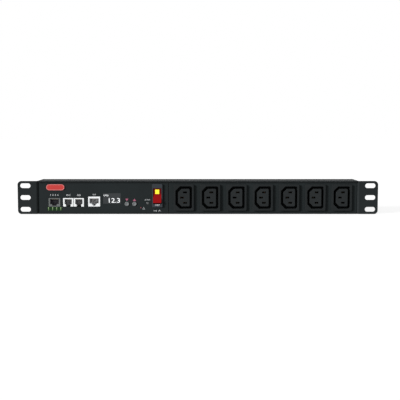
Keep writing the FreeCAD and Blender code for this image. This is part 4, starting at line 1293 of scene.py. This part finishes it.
@dataclass
class Inside(SubAssembly):
    """What the closed housing holds."""

    finishes: tuple[tuple[str, Finish], ...] = (
        ("control_board", BOARD_GREEN),
        ("board_standoffs", NICKEL),
        ("board_screws", ZINC),
        ("supply_module", POTTED),
        ("current_transformer", COIL_BLUE),
        ("line_wire_in", BROWN_WIRE),
        ("line_wire_out", BROWN_WIRE),
        ("neutral_wire", BLUE_WIRE),
        ("earth_wire", EARTH_WIRE),
    )

    def dress(self) -> None:
        """Give the inner pieces their finishes."""
        for node, finish in self.finishes:
            dress(node, finish)


# Light and camera

@dataclass(frozen=True)
class Sun:
    """A distant lamp, so that the light is even along the unit. Its spread is an angle."""

    name: str
    towards: tuple[float, float, float]
    strength: float
    spread: float

    def build(self) -> None:
        """Hang the lamp."""
        light = bpy.data.lights.new(self.name, "SUN")
        light.energy = self.strength
        light.angle = self.spread
        holder = add_object(self.name, light)
        holder.location = self.towards
        holder.rotation_euler = (-Vector(self.towards)).to_track_quat("-Z", "Y").to_euler()


@dataclass
class Studio:
    """Pale floor, soft light and the camera.

    The camera stands at a distance and elevation from the point that it aims at, and half_view is half
    of the angle that it takes in. Its sensor is in millimetres. The floor's lift is light that shows but
    doesn't fall on the unit, and the ambient strength is the world's light on the unit.
    """

    distance: float = 1.05
    elevation: float = math.radians(5.1)
    aim: tuple[float, float, float] = (2.9 * MM, -2.0 * MM, -3.25 * MM)
    half_view: float = math.radians(14.32)
    sensor_width: float = 36.0
    nearest: float = 0.01
    floor_reach: float = 8.0
    floor_colour: Colour = (0.3, 0.3, 0.3)
    floor_lift: float = 0.8
    ambient: float = 0.45
    key_lamp: Sun = Sun("key_sun", towards=(-1.0, -0.6, 0.34), strength=4.2, spread=math.radians(16))

    def build(self) -> None:
        """Set up floor, world, lamp and camera."""
        self.floor()
        self.world()
        self.key_lamp.build()
        self.camera()
        bpy.context.scene.view_settings.view_transform = "Standard"

    def seen_directly(self, graph: Graph) -> Socket:
        """Tell rays that show the background from those that light the unit.

        Args:
            graph: Nodes of the floor's or the world's material.

        Returns:
            One for camera, glossy and transmission rays.
        """
        path = graph.add("LightPath")
        total = path.outputs["Is Camera Ray"]
        for name in ("Is Glossy Ray", "Is Transmission Ray"):
            total = graph.join("Math", total, path.outputs[name], "MAXIMUM").outputs[0]
        return total

    def floor_material(self) -> bpy.types.Material:
        """Make the floor matt and pale, with the unit's shadow left on it.

        Returns:
            The material.
        """
        material = bpy.data.materials.new("pale_floor")
        material.use_nodes = True
        graph = Graph(material.node_tree)
        matt = graph.add("BsdfDiffuse", Color=opaque(self.floor_colour))
        strength = graph.span(self.seen_directly(graph), WHOLE, (0.0, self.floor_lift))
        lift = graph.add("Emission", Color=WHITE, Strength=strength)
        both = graph.join("AddShader", matt.outputs[0], lift.outputs[0])
        graph.feed(graph.add("OutputMaterial").inputs["Surface"], both.outputs[0])
        return material

    def floor(self) -> None:
        """Lay a pale floor under the unit."""
        level = CAD_BOX[0].z
        shape = bmesh.new()
        bmesh.ops.create_grid(shape, x_segments=1, y_segments=1, size=self.floor_reach)
        for vertex in shape.verts:
            vertex.co.z = level
        mesh = mesh_of(shape)
        mesh.materials.append(self.floor_material())
        add_object("floor", mesh)

    def world(self) -> None:
        """Surround the unit with even light, and show white behind it."""
        world = bpy.data.worlds.new("studio")
        world.use_nodes = True
        bpy.context.scene.world = world
        graph = Graph(world.node_tree)
        strength = graph.span(self.seen_directly(graph), WHOLE, (self.ambient, 1.0))
        light = graph.add("Background", Color=WHITE, Strength=strength)
        graph.feed(graph.add("OutputWorld").inputs["Surface"], light.outputs[0])

    def camera(self) -> None:
        """Stand the camera in front of the unit, a little above it."""
        lens = bpy.data.cameras.new("camera")
        lens.sensor_width = self.sensor_width
        lens.lens = self.sensor_width / 2 / math.tan(self.half_view)
        lens.clip_start = self.nearest
        holder = add_object("camera", lens)
        back = Vector((0, -math.cos(self.elevation), math.sin(self.elevation)))
        holder.location = Vector(self.aim) + back * self.distance
        holder.rotation_euler = (-back).to_track_quat("-Z", "Y").to_euler()
        bpy.context.scene.camera = holder


def main() -> None:
    """Set up the studio, then build and dress the sub-assemblies in order."""
    logging.basicConfig(level=logging.INFO, format="%(message)s")
    Studio().build()
    assemblies = (
        Housing(), Outlets(), Breaker(), Display(), Jacks(), Keys(), Markings(), Inlet(), Inside(),
    )
    for assembly in assemblies:
        assembly.build()
    for assembly in assemblies:
        assembly.dress()


if __name__ == "__main__":
    main()
